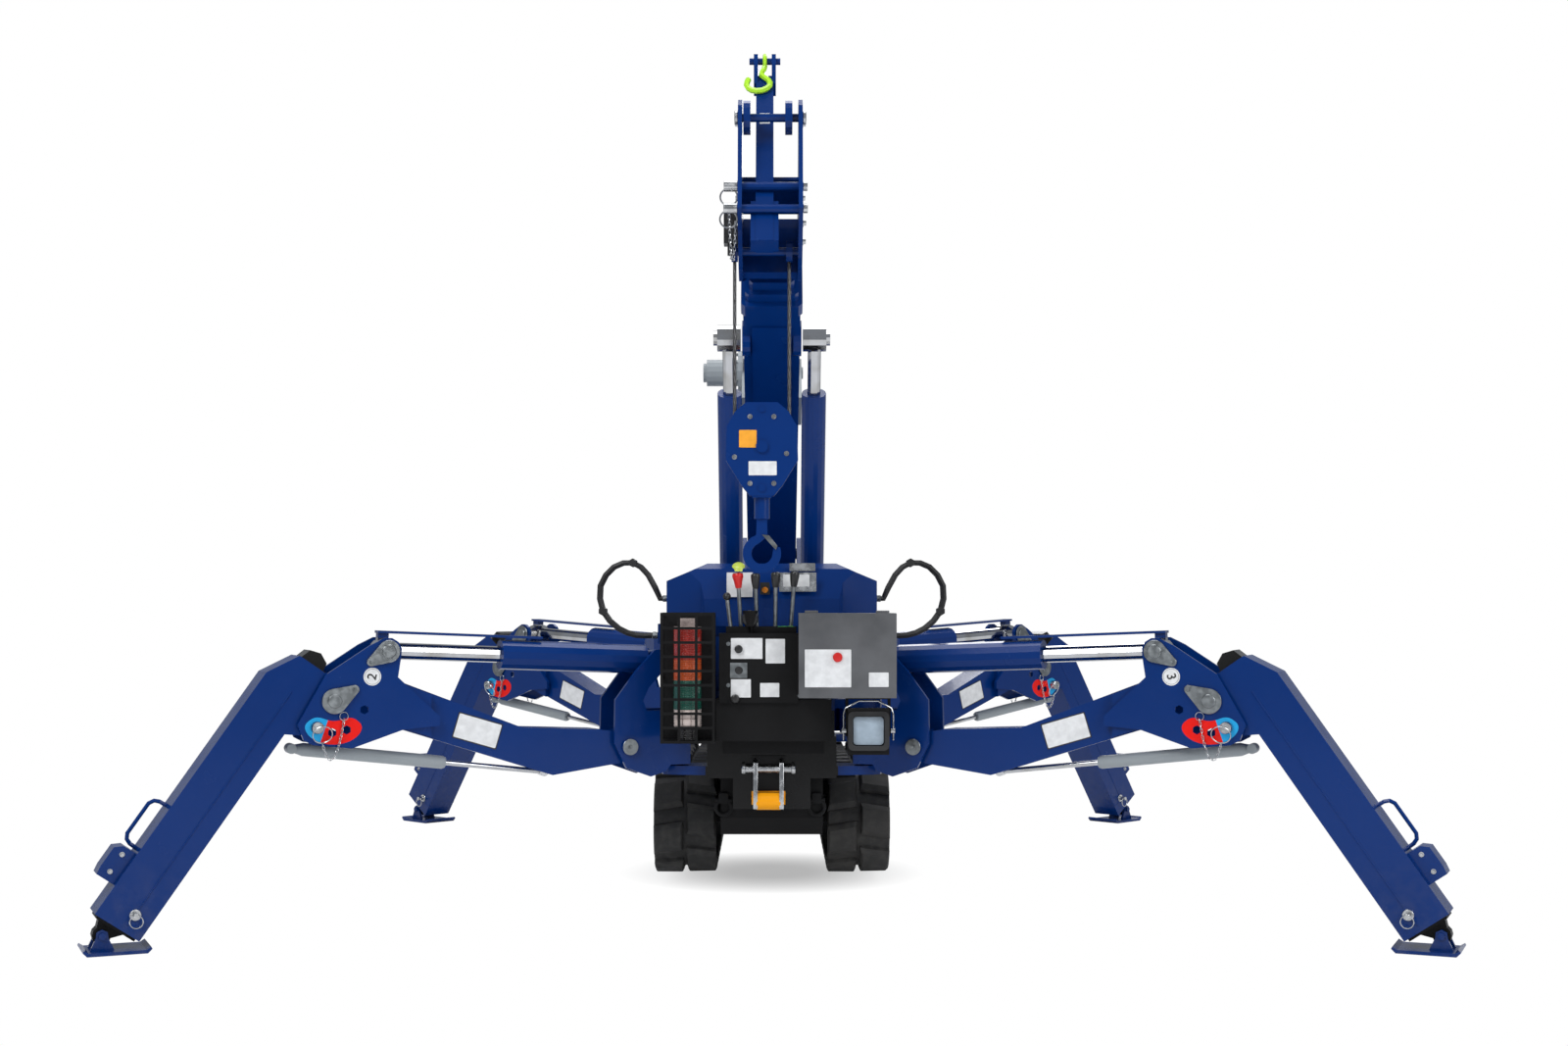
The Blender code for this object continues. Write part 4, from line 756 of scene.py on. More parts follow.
def arm_fittings(leg, out, across):
    """Keepers of the arm's pins, the figure on its round sticker, and the bare side plates."""
    metal = Piece(leg + "_pin_keepers", ZINC, leg + "_arm")
    plates = Piece(leg + "_arm_plates", WHITE, leg + "_arm")
    edging = Piece(leg + "_plate_edging", INK, leg + "_arm")
    for side in (-1, 1):
        along, normal, face = -side * out, side * across, side * KNEE_FACE
        for (r, z), tip, radius in KEEPERS:
            shape = teardrop(radius, (-side * tip[0], tip[1]), 0.013)
            seat = leg_spot(leg, r, face + side * KEEPER_OFF, z)
            metal.add(slab(shape, seat, along, UP, KEEPER_THICK, 0.0012))
            ends = leg_spot(leg, r, face, z), leg_spot(leg, r, face + side * 0.0125, z)
            metal.add(drum(*ends, 0.0205, 0.002))
            seat = leg_spot(leg, r + tip[0], face + side * (KEEPER_OFF + KEEPER_THICK), z + tip[1])
            add_bolt(metal, seat, normal, 0.0085, 0.006)
        near = BRACKET_FACE + 0.0075
        ends = [leg_spot(leg, ARM_PIN[0], side * far, ARM_PIN[1]) for far in (near, near + 0.004)]
        metal.add(drum(*ends, 0.025, 0.001))
        add_bolt(metal, ends[1], normal, 0.011, 0.008)
        centre = leg_spot(leg, STICKER_AT[0], face + side * PROUD, STICKER_AT[1])
        plates.add(slab(disc(STICKER_R), centre, along, UP, 0.0006, 0.0002))
        edging.add(hoop(centre + normal * 0.0007, along, UP, STICKER_R * 0.86, 0.0004, 4, 40), loop=True)
        name = f"{leg}_figure_{'near' if side < 0 else 'far'}"
        upright = leaned(along, UP, side * STICKER_LEAN)
        numeral(name, LEG_NUMBERS[leg], centre + normal * 0.0008, *upright, 0.038, leg + "_arm")
        middle = leg_spot(leg, PLATE_AT[0], side * (ARM_FACE + PROUD), PLATE_AT[1])
        slope = leaned(along, UP, -side * PLATE_SLOPE)
        edging.add(plate(0.142, 0.079, 0.003, middle, 0.0006, 0.0002, *slope))
        plates.add(plate(0.135, 0.072, 0.003, middle, 0.0011, 0.0002, *slope))
    metal.done()
    plates.done()
    edging.done()


def lock_pins(leg, out, across):
    """The knee's lock pins with their pull rings, each on a chain to an eyelet."""
    pins = Piece(leg + "_lock_pin", BRIGHT, leg + "_arm")
    lock_r, lock_z = KNEE + arc(LOCK_REACH, radians(LOCKED_AT))
    for side in (-1, 1):
        start, end = (leg_spot(leg, lock_r, side * far, lock_z) for far in (KNEE_FACE - 0.002, LOCK_END))
        pins.add(turned(start, end, ((0, 0.0180), (0.86, 0.0180), (1, 0.0160)), 24))
        eye = leg_spot(leg, lock_r - 0.014, side * EYE_OFF, lock_z - 0.006)
        ring_over = cos(RING_LEAN) * UP + sin(RING_LEAN) * across * side
        pins.add(hoop(eye - UP * 0.014, out, ring_over, 0.028, 0.0018), loop=True)
        eyelet = leg_spot(leg, KNEE[0] - 0.026, side * (KNEE_FACE + 0.006), KNEE[1] - 0.044)
        pins.add(hoop(eyelet, out, UP, 0.012, 0.0014), loop=True)
        add_chain(pins, drooped(eye - UP * 0.042, eyelet - UP * 0.012, 0.075))
    pins.done()


def foot_fittings(leg, out, across):
    """Pegs with their rings over the foot pad, and the bolts of the leg's grab bar."""
    foot = Piece(leg + "_foot_pin", BRIGHT, leg + "_lower_leg")
    foot_r, foot_z = down_leg(0.795, 0.112)
    bar_r, bar_z = down_leg(0.705, 0.236)
    for side in (-1, 1):
        peg = leg_spot(leg, foot_r, side * LEG_FACE, foot_z)
        way = across * side
        foot.add(drum(peg, peg + way * 0.030, 0.008, 0.001, 16))
        foot.add(drum(peg, peg + way * 0.004, 0.016, 0.001, 20))
        foot.add(hoop(peg + way * 0.024 - UP * 0.016, out, UP, 0.018, 0.0018), loop=True)
        for shift in (-0.028, 0.028):
            r, z = bar_r + shift * cos(LEG_DIR), bar_z + shift * sin(LEG_DIR)
            add_bolt(foot, leg_spot(leg, r, side * 0.040, z), way, 0.009, 0.006)
    foot.done()


def leg_seam(leg, out, across):
    """The folded edge of the lower leg's outer face, as a thin bead."""
    seam = Piece(leg + "_leg_seam", PAINT, leg + "_lower_leg")
    run = [down_leg(along, SEAM_OVER) for along in np.linspace(0.045, LEG_TIP - 0.02, 12)]
    for side in (-1, 1):
        path = [leg_spot(leg, r, side * LEG_FACE, z) for r, z in run]
        seam.add(swept(path, 0.0022, 6, across))
    seam.done()


def gas_strut(leg, out, across):
    """The strut under the arm: a grey body with an eye at its outer end, a chromed rod with one at its inner end.

    The outer end goes round the knee by FOLDED, along a chord of length travel. The share of the
    strut's own reach along that chord which the chord takes up is worked out as share."""
    ends = [leg_spot(leg, r, 0, z) for r, z in (STRUT_OUT, STRUT_IN)]
    strut = Piece(leg + "_gas_strut", STEEL_GREY, leg + "_arm")
    profile = ((0.0, 0.010), (0.03, 0.016), (0.045, 0.0195), (0.59, 0.0195), (0.60, 0.016))
    strut.add(turned(*ends, profile, 20))
    strut.add(drum(ends[0] - across * 0.022, ends[0] + across * 0.022, 0.015))
    slim = Piece(leg + "_gas_strut_rod", CHROME, leg + "_arm")
    slim.add(turned(*ends, ((0.58, 0.008), (0.985, 0.008), (1.0, 0.006)), 16))
    slim.add(drum(ends[1] - across * 0.020, ends[1] + across * 0.020, 0.013))
    arm = np.subtract(STRUT_OUT, KNEE)
    c, s = cos(FOLDED), sin(FOLDED)
    shift = np.array(((c, -s), (s, c))) @ arm - arm
    travel = np.linalg.norm(shift)
    axis = (shift[0] * out + shift[1] * UP) / travel
    share = travel / abs(np.dot(ends[0] - ends[1], axis))
    for piece in (strut.done(), slim.done()):
        leg + "_knee"
        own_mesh(piece)


for leg, (_, out, across) in STANDS.items():
    for fit_out in (arm_fittings, lock_pins, foot_fittings, leg_seam, gas_strut):
        fit_out(leg, out, across)


# Tracks
TRACK_X, TRACK_W = 0.279, 0.200
WHEELS_Y = (-0.660, 0.580)
WHEEL_Z, TRACK_R, LUG_H = 0.260, 0.170, 0.022
BELT_R = TRACK_R - LUG_H
SHOES = 24


def on_loop(far, reach):
    """Points (y, z) of the track's loop, at a share far of the belt's length round it.

    The distance d along the belt goes back along the top, half round the rear wheel, forwards
    along the bottom and half round the front wheel. A point stands off the wheels' line by reach,
    at the angle a: straight up or down on the runs, and turning with d on the half circles."""
    run = WHEELS_Y[1] - WHEELS_Y[0]
    half = pi * BELT_R
    d = np.mod(far, 1.0) * 2 * (run + half)
    on_rear = np.clip(pi / 2 - (d - run) / (half / pi), -pi / 2, pi / 2)
    on_front = -pi / 2 - np.clip(d - (2 * run + half), 0, None) / (half / pi)
    parts = (d < run, d < run + half, d < 2 * run + half)
    y = np.select(parts, (WHEELS_Y[0] + d, WHEELS_Y[1], WHEELS_Y[1] - (d - run - half)), WHEELS_Y[0])
    a = np.select(parts, (pi / 2, on_rear, on_rear), on_front)
    return np.stack((y + reach * np.cos(a), WHEEL_Z + reach * np.sin(a)), -1)


def lug_block(far, x0, x1, skew):
    """One tread bar: four rings that rise from a wide foot to a narrower, bevelled crown.

    far and the half widths are shares of the loop, and skew slants the bar, in shoe pitches."""
    foot, crown = 0.36 / SHOES, 0.23 / SHOES
    rings = []
    for half, reach, inset in (
        (foot, BELT_R - 0.004, 0.0), (foot * 0.94, TRACK_R - 0.012, 0.0),
        (crown * 1.12, TRACK_R - 0.003, 0.004), (crown, TRACK_R - 0.0005, 0.007),
    ):
        x = np.array((x0 + inset,) * 4 + (x1 - inset,) * 4)
        f = far + half * np.array((-1, -0.34, 0.34, 1, 1, 0.34, -0.34, -1))
        f = f + skew * (x - x0) / (x1 - x0) / SHOES
        rings.append(np.concatenate((x[:, None], on_loop(f, reach)), -1))
    return np.stack(rings)


for side, name in ((-1, "track_left"), (1, "track_right")):
    tread = Piece(name + "_tread", RUBBER, slot="rubber")
    low, high = sorted((side * (TRACK_X - TRACK_W / 2), side * (TRACK_X + TRACK_W / 2)))
    far = np.linspace(0, 1, 160, endpoint=False)
    inner, outer = BELT_R - 0.018, BELT_R
    corners = ((low, inner), (low, outer - 0.004), (low + 0.004, outer), (high - 0.004, outer),
               (high, outer - 0.004), (high, inner))
    belt = [np.concatenate((np.full((len(far), 1), x), on_loop(far, reach)), -1) for x, reach in corners]
    tread.add(np.stack(belt, 1), loop=True)
    middle = (low + high) / 2
    for shoe in range(SHOES):
        here = shoe / SHOES
        tread.add(lug_block(here, low, middle - 0.006, 0.10))
        tread.add(lug_block(here + 0.5 / SHOES, middle + 0.006, high, -0.10))
    tread.done(name)


# Undercarriage: hubs, wheel bolts, and the bolts along the frame between the wheels
HUB_FACE, HUB_BOLT_R = 0.060, 0.088
HUB_PROFILE = ((0, 0.070), (0.5, 0.066), (0.6, 0.036), (1, 0.030))
hubs = Piece("wheel_hubs", COATING)
studs = Piece("wheel_bolts", ZINC)
for side in (-1, 1):
    for wheel_y in WHEELS_Y:
        for face, way in ((side * (TRACK_X + HUB_FACE), side), (side * (TRACK_X - HUB_FACE), -side)):
            spot = at(face, wheel_y, WHEEL_Z)
            hubs.add(turned(spot, spot + at(way * 0.020, 0, 0), HUB_PROFILE, 28))
        hub = at(side * (TRACK_X + HUB_FACE), wheel_y, WHEEL_Z)
        bolt_circle(studs, 8, hub, NORTH, UP, HUB_BOLT_R, side * EAST, 0.011, 0.008)
    for k in range(6):
        add_bolt(studs, at(side * (TRACK_X + 0.045), -0.50 + 0.18 * k, 0.262), side * EAST, 0.010, 0.007)
hubs.done()
studs.done()

# Lashing shackles on the front of the undercarriage
shackles = Piece("lashing_shackles", COATING)
FRONT_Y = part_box("undercarriage")[0][1]
for x in (-0.150, 0.140):
    bow = at(x, FRONT_Y - 0.012, 0.335)
    shackles.add(hoop(bow, EAST, UP, 0.024, 0.0062, 10, 32), loop=True)
    shackles.add(drum(bow + at(-0.026, 0, 0.022), bow + at(0.026, 0, 0.022), 0.0075, 0.001, 16))
    shackles.add(plate(0.030, 0.034, 0.006, bow + at(0, 0.0115, 0.028), 0.020, 0.001))
shackles.done()

# Console and remote control box
CONSOLE_Y, REMOTE_Y, REMOTE_RIM_Y = -1.160, -1.250, -1.172


def plate_at(piece, corners, y, thick=0.0012):
    """A thin plate on an upright face at y, two of its corners given as pixels of the photograph."""
    high, low = from_photo(*corners[:2], y), from_photo(*corners[2:], y)
    middle = (high + low) / 2 - at(0, PROUD, 0)
    piece.add(plate(abs(low[0] - high[0]), abs(high[2] - low[2]), 0.002, middle, thick))


def forward(start, reach, profile, sides):
    """Turned about a line that runs from start towards the front."""
    return turned(start, start - at(0, reach, 0), profile, sides)


def alone(name, looks, grid, body="chassis"):
    """A piece of one skin."""
    Piece(name, looks, body).add(grid).done()


labels = Piece("console_plates", WHITE)
rims = Piece("console_plate_rims", ZINC)
for corners in (
    (745.8, 650.9, 778.1, 672.1), (781.2, 651.7, 801.0, 676.7),
    (745.8, 692.9, 766.2, 711.5), (775.6, 696.7, 795.2, 711.0),
):
    plate_at(labels, corners, CONSOLE_Y)
plate_at(labels, (821.2, 662.5, 868.6, 701.1), REMOTE_Y)
plate_at(labels, (886.6, 686.0, 906.8, 700.8), REMOTE_Y)
plate_at(rims, (745.0, 676.0, 762.5, 691.6), CONSOLE_Y, 0.002)
labels.done()
for column, row, y, height in (
    (743.2, 656.8, CONSOLE_Y, 0.005), (743.2, 699.0, CONSOLE_Y, 0.005),
    (816.0, 709.5, REMOTE_RIM_Y, 0.006), (910.0, 709.5, REMOTE_RIM_Y, 0.006),
):
    add_bolt(rims, from_photo(column, row, y), -NORTH, 0.008, height)
rims.done()

dark = Piece("console_knobs", KNOB)
for column, row, radius, deep in (
    (753.7, 662.1, 0.0125, 0.014), (753.9, 683.8, 0.0120, 0.008), (750.2, 712.5, 0.0130, 0.020),
):
    profile = ((0, radius), (0.7, radius), (0.9, radius * 0.9), (1, radius * 0.6))
    dark.add(forward(from_photo(column, row, CONSOLE_Y), deep, profile, 24))
dial = at(-0.066, -1.135, 0.925)
profile = ((0, 0.0225), (0.2, 0.0255), (1, 0.0245))
dark.add(turned(dial - at(0, 0.012, 0), dial + at(0, 0.020, 0), profile, 32))
dark.done()
spot = from_photo(854.7, 670.5, REMOTE_Y) - at(0, 0.0012, 0)
profile = ((0, 0.0135), (0.6, 0.0145), (0.9, 0.0125), (1, 0.008))
alone("remote_button", RED, forward(spot, 0.010, profile, 28))
spot = from_photo(801.5, 640.8, -1.085)
alone("level_vial", GREEN, plate(0.052, 0.012, 0.004, spot, 0.020, 0.001))

# Levers: each knob's middle, looks and radius. The last one is a ball
LEVERS = (
    (-0.104, -1.085, 1.048, RED, 0.0175), (-0.050, -1.080, 1.046, KNOB, 0.0150),
    (0.012, -1.080, 1.050, KNOB, 0.0150), (0.070, -1.080, 1.052, KNOB, 0.0150),
    (-0.137, -1.120, 0.992, KNOB, 0.0125),
)
ROOT_X, ROOT_Z = (-0.140, 0.0507), 0.872
shafts = Piece("lever_shafts", ZINC)
for k, (x, y, z, looks, radius) in enumerate(LEVERS):
    root_x = 0.30 * x + 0.70 * max(ROOT_X[0], min(ROOT_X[1], x * 0.85))
    foot, top = at(root_x, y + 0.012, ROOT_Z), at(x, y, z)
    shafts.add(swept(np.linspace(foot, top, 6), 0.0064, 12))
    boot = ((0, 0.012), (0.6, 0.011), (1, 0.007))
    shafts.add(turned(foot + at(0, 0, 0.004), foot + at(0, 0, 0.022), boot, 16))
    way = unit(top - foot)
    if k == len(LEVERS) - 1:
        a = np.linspace(0.05, pi - 0.05, 12)
        profile = np.stack(((1 - np.cos(a)) / 2, radius * np.sin(a)), -1)
        grip = turned(top - way * radius, top + way * radius, profile, 20)
    else:
        crown = ((0.72, radius), (0.86, radius), (0.96, radius * 0.86), (1, radius * 0.5))
        profile = ((0, 0.0095), (0.18, 0.0115), (0.45, 0.0135), *crown)
        grip = turned(top - way * 0.030, top + way * 0.017, profile, 10)
    alone(f"lever_grip_{k + 1}", looks, grip)
shafts.done()

# Hood details
HOOD_FACE = -1.020
for name, looks, plates in (
    ("hood_plates", WHITE, ((741.5, 584.0, 768.0, 609.0, HOOD_FACE, 0.002),)),
    ("hood_panel", BRIGHT, ((795.0, 584.0, 833.0, 603.5, HOOD_FACE, 0.004),
                            (805.5, 574.5, 832.0, 582.5, HOOD_FACE + 0.035, 0.004))),
    ("hood_display", WHITE, ((799.0, 586.0, 826.0, 598.5, HOOD_FACE - 0.0045, 0.0012),)),
    ("hood_switch_plate", KNOB, ((775.5, 594.0, 785.5, 606.5, HOOD_FACE, 0.003),)),
):
    piece = Piece(name, looks)
    for *corners, y, thick in plates:
        plate_at(piece, corners, y, thick)
    piece.done()
spot = from_photo(780.6, 601.8, HOOD_FACE) - at(0, 0.003, 0)
profile = ((0, 0.0075), (0.5, 0.0095), (0.85, 0.0090), (1, 0.005))
alone("hood_switch", AMBER, forward(spot, 0.014, profile, 20))
foot = from_photo(753.7, 583.0, -0.955)
a = np.linspace(0, pi / 2 - 0.08, 9)
profile = np.concatenate((((0, 0.026),), np.stack((0.2 + 0.8 * np.sin(a), 0.0245 * np.cos(a)), -1)))
alone("hood_beacon", BEACON, turned(foot, foot + at(0, 0, 0.030), profile, 24))

# Work lamp: its glass, the rim round it and the bail on its two pivots
LAMP_X, LAMP_Z, BAIL_Y = 0.291, 0.5885, -1.216
spot = at(LAMP_X, -1.2195, LAMP_Z)
alone("work_lamp_glass", GLASS, plate(0.092, 0.085, 0.010, spot, 0.004, 0.001))
outer, hole = rectangle(0.124, 0.118, 0.016), rectangle(0.096, 0.089, 0.011)
rings = [
    np.stack((outline[:, 0] + LAMP_X, np.full(len(outline), y), outline[:, 1] + LAMP_Z), -1)
    for outline, y in ((outer, -1.2302), (outer, -1.238), (hole, -1.240), (hole, -1.232))
]
Piece("work_lamp_rim", KNOB).add(np.stack(rings), loop=True).done()
bail = Piece("work_lamp_bail", BRIGHT)
bends = (
    (0.2165, 0.560), (0.2165, 0.640), (0.222, 0.656), (0.262, 0.678),
    (0.320, 0.678), (0.360, 0.656), (0.3655, 0.640), (0.3655, 0.560),
)
bail.add(swept([(x, BAIL_Y, z) for x, z in bends], 0.0028, 8, NORTH))
for x, way in ((0.2165, -1), (0.3655, 1)):
    ends = at(x - 0.008 * way, BAIL_Y, 0.588), at(x + 0.006 * way, BAIL_Y, 0.588)
    bail.add(drum(*ends, 0.007, 0.001, 16))
bail.done()

# Pale blocks of the lamp tower, in two rows of three
PALE = smooth_plastic("pale_lens", (0.66, 0.56, 0.52), 0.25, 0.0003)
blocks = Piece("tower_blocks", PALE)
for k in range(3):
    for low, high in ((0.604, 0.624), (0.627, 0.648)):
        middle = at(-0.2805 + 0.0255 * k, -1.228, (low + high) / 2)
        blocks.add(plate(0.0235, high - low, 0.002, middle, 0.006, 0.001))
blocks.done()

# Six-sided ferrules at both ends of the hose loops
LOOP_Y = -0.880
ferrules = Piece("hose_ferrules", ZINC)
for side in (-1, 1):
    for offset in (-0.0125, 0.0125):
        for x0, x1, z in ((0.3305, 0.345, 0.985), (0.3605, 0.378, 0.868)):
            ends = at(side * x0, LOOP_Y + offset, z), at(side * x1, LOOP_Y + offset, z)
            ferrules.add(drum(*ends, 0.0118, 0.001, 6))
ferrules.done()

# Tow roller: its steel pin with the end caps, and two side arms
PIN_Y, PIN_Z = -1.085, 0.462
ARM_SHAPE = (
    (-1.100, 0.338), (-1.127, 0.343), (-1.134, 0.372), (-1.102, 0.482), (-1.060, 0.494), (-1.060, 0.398),
)
tow = Piece("tow_pins", BRIGHT)
tow.add(drum(at(-0.086, PIN_Y, PIN_Z), at(0.066, PIN_Y, PIN_Z), 0.0115, 0.001, 20))
for x, way in ((-0.080, -1), (0.060, 1)):
    tow.add(drum(at(x, PIN_Y, PIN_Z), at(x + way * 0.012, PIN_Y, PIN_Z), 0.017, 0.002, 20))
for x in (-0.0565, 0.0235):
    tow.add(slab(ARM_SHAPE, at(x, 0, 0), NORTH, UP, 0.013, 0.001))
tow.done()


# Crane
BOOM_FOOT = np.asarray(JOINTS["luff"]["pos_m"])
BOOM_WAY = unit(JOINTS["telescope_2"]["axis"])
BOOM_OVER = np.cross(EAST, BOOM_WAY)
BOOM_OVER = BOOM_OVER * np.sign(BOOM_OVER[2])


def on_boom(x, u, v):
    """x across, u along the boom from its foot, v square to it."""
    return BOOM_FOOT + x * EAST + u * BOOM_WAY + v * BOOM_OVER


# The boom head: its two faces, each with the way it looks, and where its pins go through
HEAD_FACES = ((-0.0955, -1), (0.0875, 1))
PIN_U, PINS_V = 2.0213, (-0.019, -0.099)
head = Piece("head_pins", BRIGHT, "section_4")
for v in PINS_V:
    head.add(drum(on_boom(-0.134, PIN_U, v), on_boom(HEAD_FACES[0][0], PIN_U, v), 0.0150, 0.001, 24))
    head.add(drum(on_boom(HEAD_FACES[1][0], PIN_U, v), on_boom(0.100, PIN_U, v), 0.0130, 0.001, 20))
    handle = on_boom(-0.120, PIN_U, v)
    head.add(hoop(handle - UP * 0.030, EAST, UP, 0.024, 0.0024, 6, 28), loop=True)
for u, v in ((1.880, -0.100), (1.880, 0.060), (1.960, -0.100), (2.045, 0.190)):
    for x, way in HEAD_FACES:
        add_bolt(head, on_boom(x, u, v), way * EAST, 0.013, 0.009)
for x, way in HEAD_FACES:
    head.add(drum(on_boom(x, 2.070, 0.190), on_boom(x + way * 0.010, 2.070, 0.190), 0.020, 0.002, 24))
hung = drooped(on_boom(-0.120, PIN_U, PINS_V[0]) - UP * 0.054, on_boom(-0.101, 1.960, -0.110), 0.120)
add_chain(head, hung, 0.010, 0.0012, 0.0034)
head.done()
spot = on_boom(-0.020, 2.0087 + PROUD, 0.245)
bare = plate(0.030, 0.040, 0.002, spot, 0.0012, along=-EAST, over=BOOM_OVER)
alone("jib_plate", WHITE, bare, "section_4")

# Hoist rope with its strands: down from the head, round the block's sheave and up again
PLUMB_Y, ROPE_TOP = -1.520, 1.9497
FALLS_X, FALL_STEPS = (-0.106, 0.050), 40
BLOCK_X, BLOCK_Z = -0.028, 1.420
STRAND_LAY = 0.034
bend_r = (FALLS_X[1] - FALLS_X[0]) / 2
turn = np.linspace(pi, 2 * pi, 25)
drop = np.linspace(ROPE_TOP, BLOCK_Z, FALL_STEPS, endpoint=False)
down_x, up_x = (np.full(FALL_STEPS, side) for side in FALLS_X)
x = np.concatenate((down_x, BLOCK_X + bend_r * np.cos(turn), up_x))
z = np.concatenate((drop, BLOCK_Z + bend_r * np.sin(turn), drop[::-1]))
path = np.stack((x, np.full(len(x), PLUMB_Y), z), -1)
length = np.concatenate(([0], np.cumsum(np.linalg.norm(np.diff(path, axis=0), axis=1))))
falls = Piece("hoist_rope_laid", ROPE, "tackle", "rope")
falls.add(swept(path, 0.0050, 12, NORTH), turns=length / STRAND_LAY)
falls.done("hoist_rope")

# Hook block: a bare plate, an orange plate and bolts on its front
FACE_Y = PLUMB_Y - 0.0354
spot = at(BLOCK_X + 0.002, FACE_Y, BLOCK_Z - 0.062)
alone("block_plates", WHITE, plate(0.080, 0.040, 0.002, spot, 0.0012), "tackle")
spot = at(BLOCK_X - 0.040, FACE_Y, BLOCK_Z + 0.022)
alone("block_orange_plate", ORANGE, plate(0.050, 0.050, 0.003, spot, 0.0012), "tackle")
rivets = Piece("block_bolts", BRIGHT, "tackle")
for x, z in (
    (0.034, 0.085), (-0.034, 0.085), (0.070, -0.020), (-0.078, -0.030), (0.034, -0.105), (-0.034, -0.105),
):
    add_bolt(rivets, at(BLOCK_X + x, FACE_Y, BLOCK_Z + z), -NORTH, 0.009, 0.006)
rivets.done()
tongue = ((-0.010, 0.050), (0.010, 0.048), (0.034, 0.018), (0.030, 0.006), (0.022, 0.014))
tongue = slab(tongue, at(BLOCK_X + 0.010, PLUMB_Y - 0.0155, 1.120), EAST, UP, 0.0020, 0.0003)
alone("hook_latch", ZINC, tongue, "hook")

# Winch: one layer of rope as a helix round the drum's axis, and the motor's bolts
CENTRE = on_boom(0, 0.744, 0.269)
WRAPS, WRAPS_WIDE, WRAPS_R = 13, 0.146, 0.0655
far = np.linspace(0, WRAPS, WRAPS * 28 + 1)
a = far * 2 * pi
spoke = np.cos(a)[:, None] * NORTH + np.sin(a)[:, None] * UP
helix = CENTRE + ((far / WRAPS - 0.5) * WRAPS_WIDE)[:, None] * EAST + WRAPS_R * spoke
wraps = Piece("drum_rope", ROPE, "drum", "rope")
wraps.add(swept(helix, 0.0052, 8, EAST), turns=a * WRAPS_R / STRAND_LAY).done()
motor_bolts = Piece("winch_bolts", ZINC, "boom")
bolt_circle(motor_bolts, 6, CENTRE - 0.114 * EAST, BOOM_WAY, BOOM_OVER, 0.062, -EAST, 0.010, 0.007)
motor_bolts.done()

# Bolts round the turret's flange
slew_bolts = Piece("slew_bolts", ZINC, "turret")
bolt_circle(slew_bolts, 24, at(0, -0.300, 0.860), EAST, NORTH, 0.405, UP, 0.012, 0.008)
slew_bolts.done()

# Engine hood: catches on its sides and a handle
hood = Piece("engine_hood_latches", KNOB)
for side in (-1, 1):
    for y in (0.500, 0.800):
        spot = at(side * 0.2055, y, 0.905)
        hood.add(plate(0.060, 0.022, 0.005, spot, 0.006, 0.001, side * NORTH))
hood.add(hoop(at(0, 0.932, 0.780), EAST, NORTH, 0.055, 0.006, 8, 16, 0.0, 180.0))
hood.done()


# Stage, camera and light
# The floor looks white to the camera, wholly so away from the crane, and takes its shadow near it
FLOOR_HALF = 60.0
floor = Finish("floor", (0.86, 0.86, 0.86), 0.9)
grain = floor.noise(3.0, 3.0).ramp(0.3, 0.7)
floor.set("Base Color", floor.mix(grain, (0.86, 0.86, 0.86), (0.89, 0.89, 0.89)))
seen = floor.node("ShaderNodeLightPath", {}, {}, "Is Camera Ray")
white = floor.node("ShaderNodeEmission", {}, {"Color": (1.0, 1.0, 1.0), "Strength": 1.0})
plain = Flow(floor, floor.shader.outputs[0])
east, north, _ = floor.axes(floor.place())
away = (east * east + north * north).ramp(0.02, 0.30)
both = floor.node("ShaderNodeMixShader", {}, {0: seen * (0.45 + 0.55 * away), 1: plain, 2: white})
output = next(n for n in floor.tree.nodes if n.type == "OUTPUT_MATERIAL")
floor.tree.links.new(both.socket, output.inputs["Surface"])
mesh = bpy.data.meshes.new("floor")
corners = [(x * FLOOR_HALF, y * FLOOR_HALF, 0.0) for x, y in ((-1, -1), (1, -1), (1, 1), (-1, 1))]
mesh.from_pydata(corners, [], [(0, 1, 2, 3)])
mesh.materials.append(floor.material)
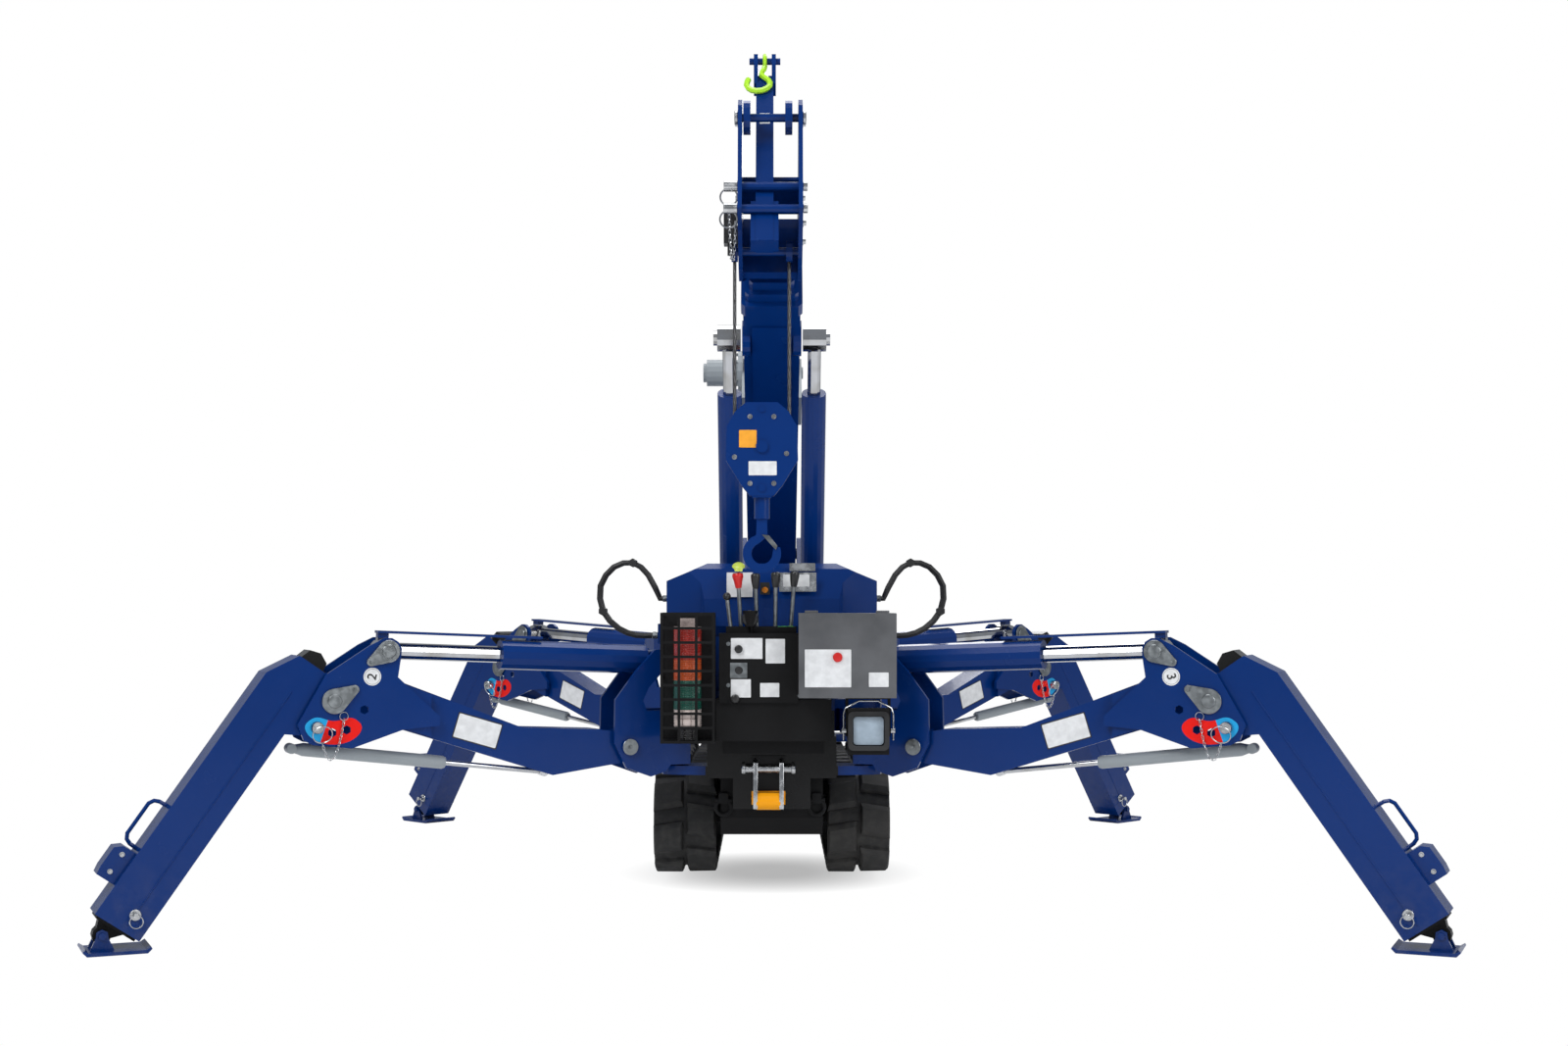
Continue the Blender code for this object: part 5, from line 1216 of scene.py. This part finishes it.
put("floor", mesh)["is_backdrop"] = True

# The sky is white to the camera and a soft pale blue to everything that it lights
world = bpy.data.worlds.new("studio")
bpy.context.scene.world = world
world.use_nodes = True
nodes, joined = world.node_tree.nodes, world.node_tree.links
sky, seen_sky = nodes["Background"], nodes.new("ShaderNodeBackground")
ray, mix = nodes.new("ShaderNodeLightPath"), nodes.new("ShaderNodeMixShader")
sky.inputs["Color"].default_value = (0.80, 0.84, 0.90, 1.0)
sky.inputs["Strength"].default_value = 0.40
seen_sky.inputs["Color"].default_value = (1.0, 1.0, 1.0, 1.0)
joined.new(ray.outputs["Is Camera Ray"], mix.inputs[0])
joined.new(sky.outputs[0], mix.inputs[1])
joined.new(seen_sky.outputs[0], mix.inputs[2])
joined.new(mix.outputs[0], nodes["World Output"].inputs["Surface"])


def soft_light(name, spot, aim, size, power):
    lamp = bpy.data.lights.new(name, "AREA")
    lamp.shape = "DISK"
    lamp.size = size
    lamp.energy = power
    made = put(name, lamp)
    made.location = spot
    made.rotation_euler = (Vector(aim) - Vector(spot)).to_track_quat("-Z", "Y").to_euler()


soft_light("key", (-3.5, -6.5, 6.0), (0, 0, 0.7), 4.0, 330.0)
soft_light("fill", (5.0, -6.0, 3.5), (0, 0, 0.8), 4.0, 170.0)
soft_light("top", (0.0, 0.5, 7.5), (0, 0, 0.8), 5.0, 250.0)
soft_light("back", (2.0, 6.5, 5.0), (0, 0, 0.9), 4.0, 170.0)

camera = bpy.data.cameras.new("camera")
camera.sensor_width = 36.0
camera.lens = FOCAL_PX / PHOTO_WIDTH * camera.sensor_width
camera.shift_x = (PHOTO_WIDTH / 2 - AXIS_COLUMN) / PHOTO_WIDTH
camera.shift_y = (HORIZON_ROW - PHOTO_HEIGHT / 2) / PHOTO_WIDTH
viewer = put("camera", camera)
viewer.location = (0.0, CAMERA_Y, CAMERA_Z)
viewer.rotation_euler = (pi / 2, 0.0, 0.0)
bpy.context.scene.camera = viewer
bpy.context.scene.view_settings.view_transform = "Standard"

low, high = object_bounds()
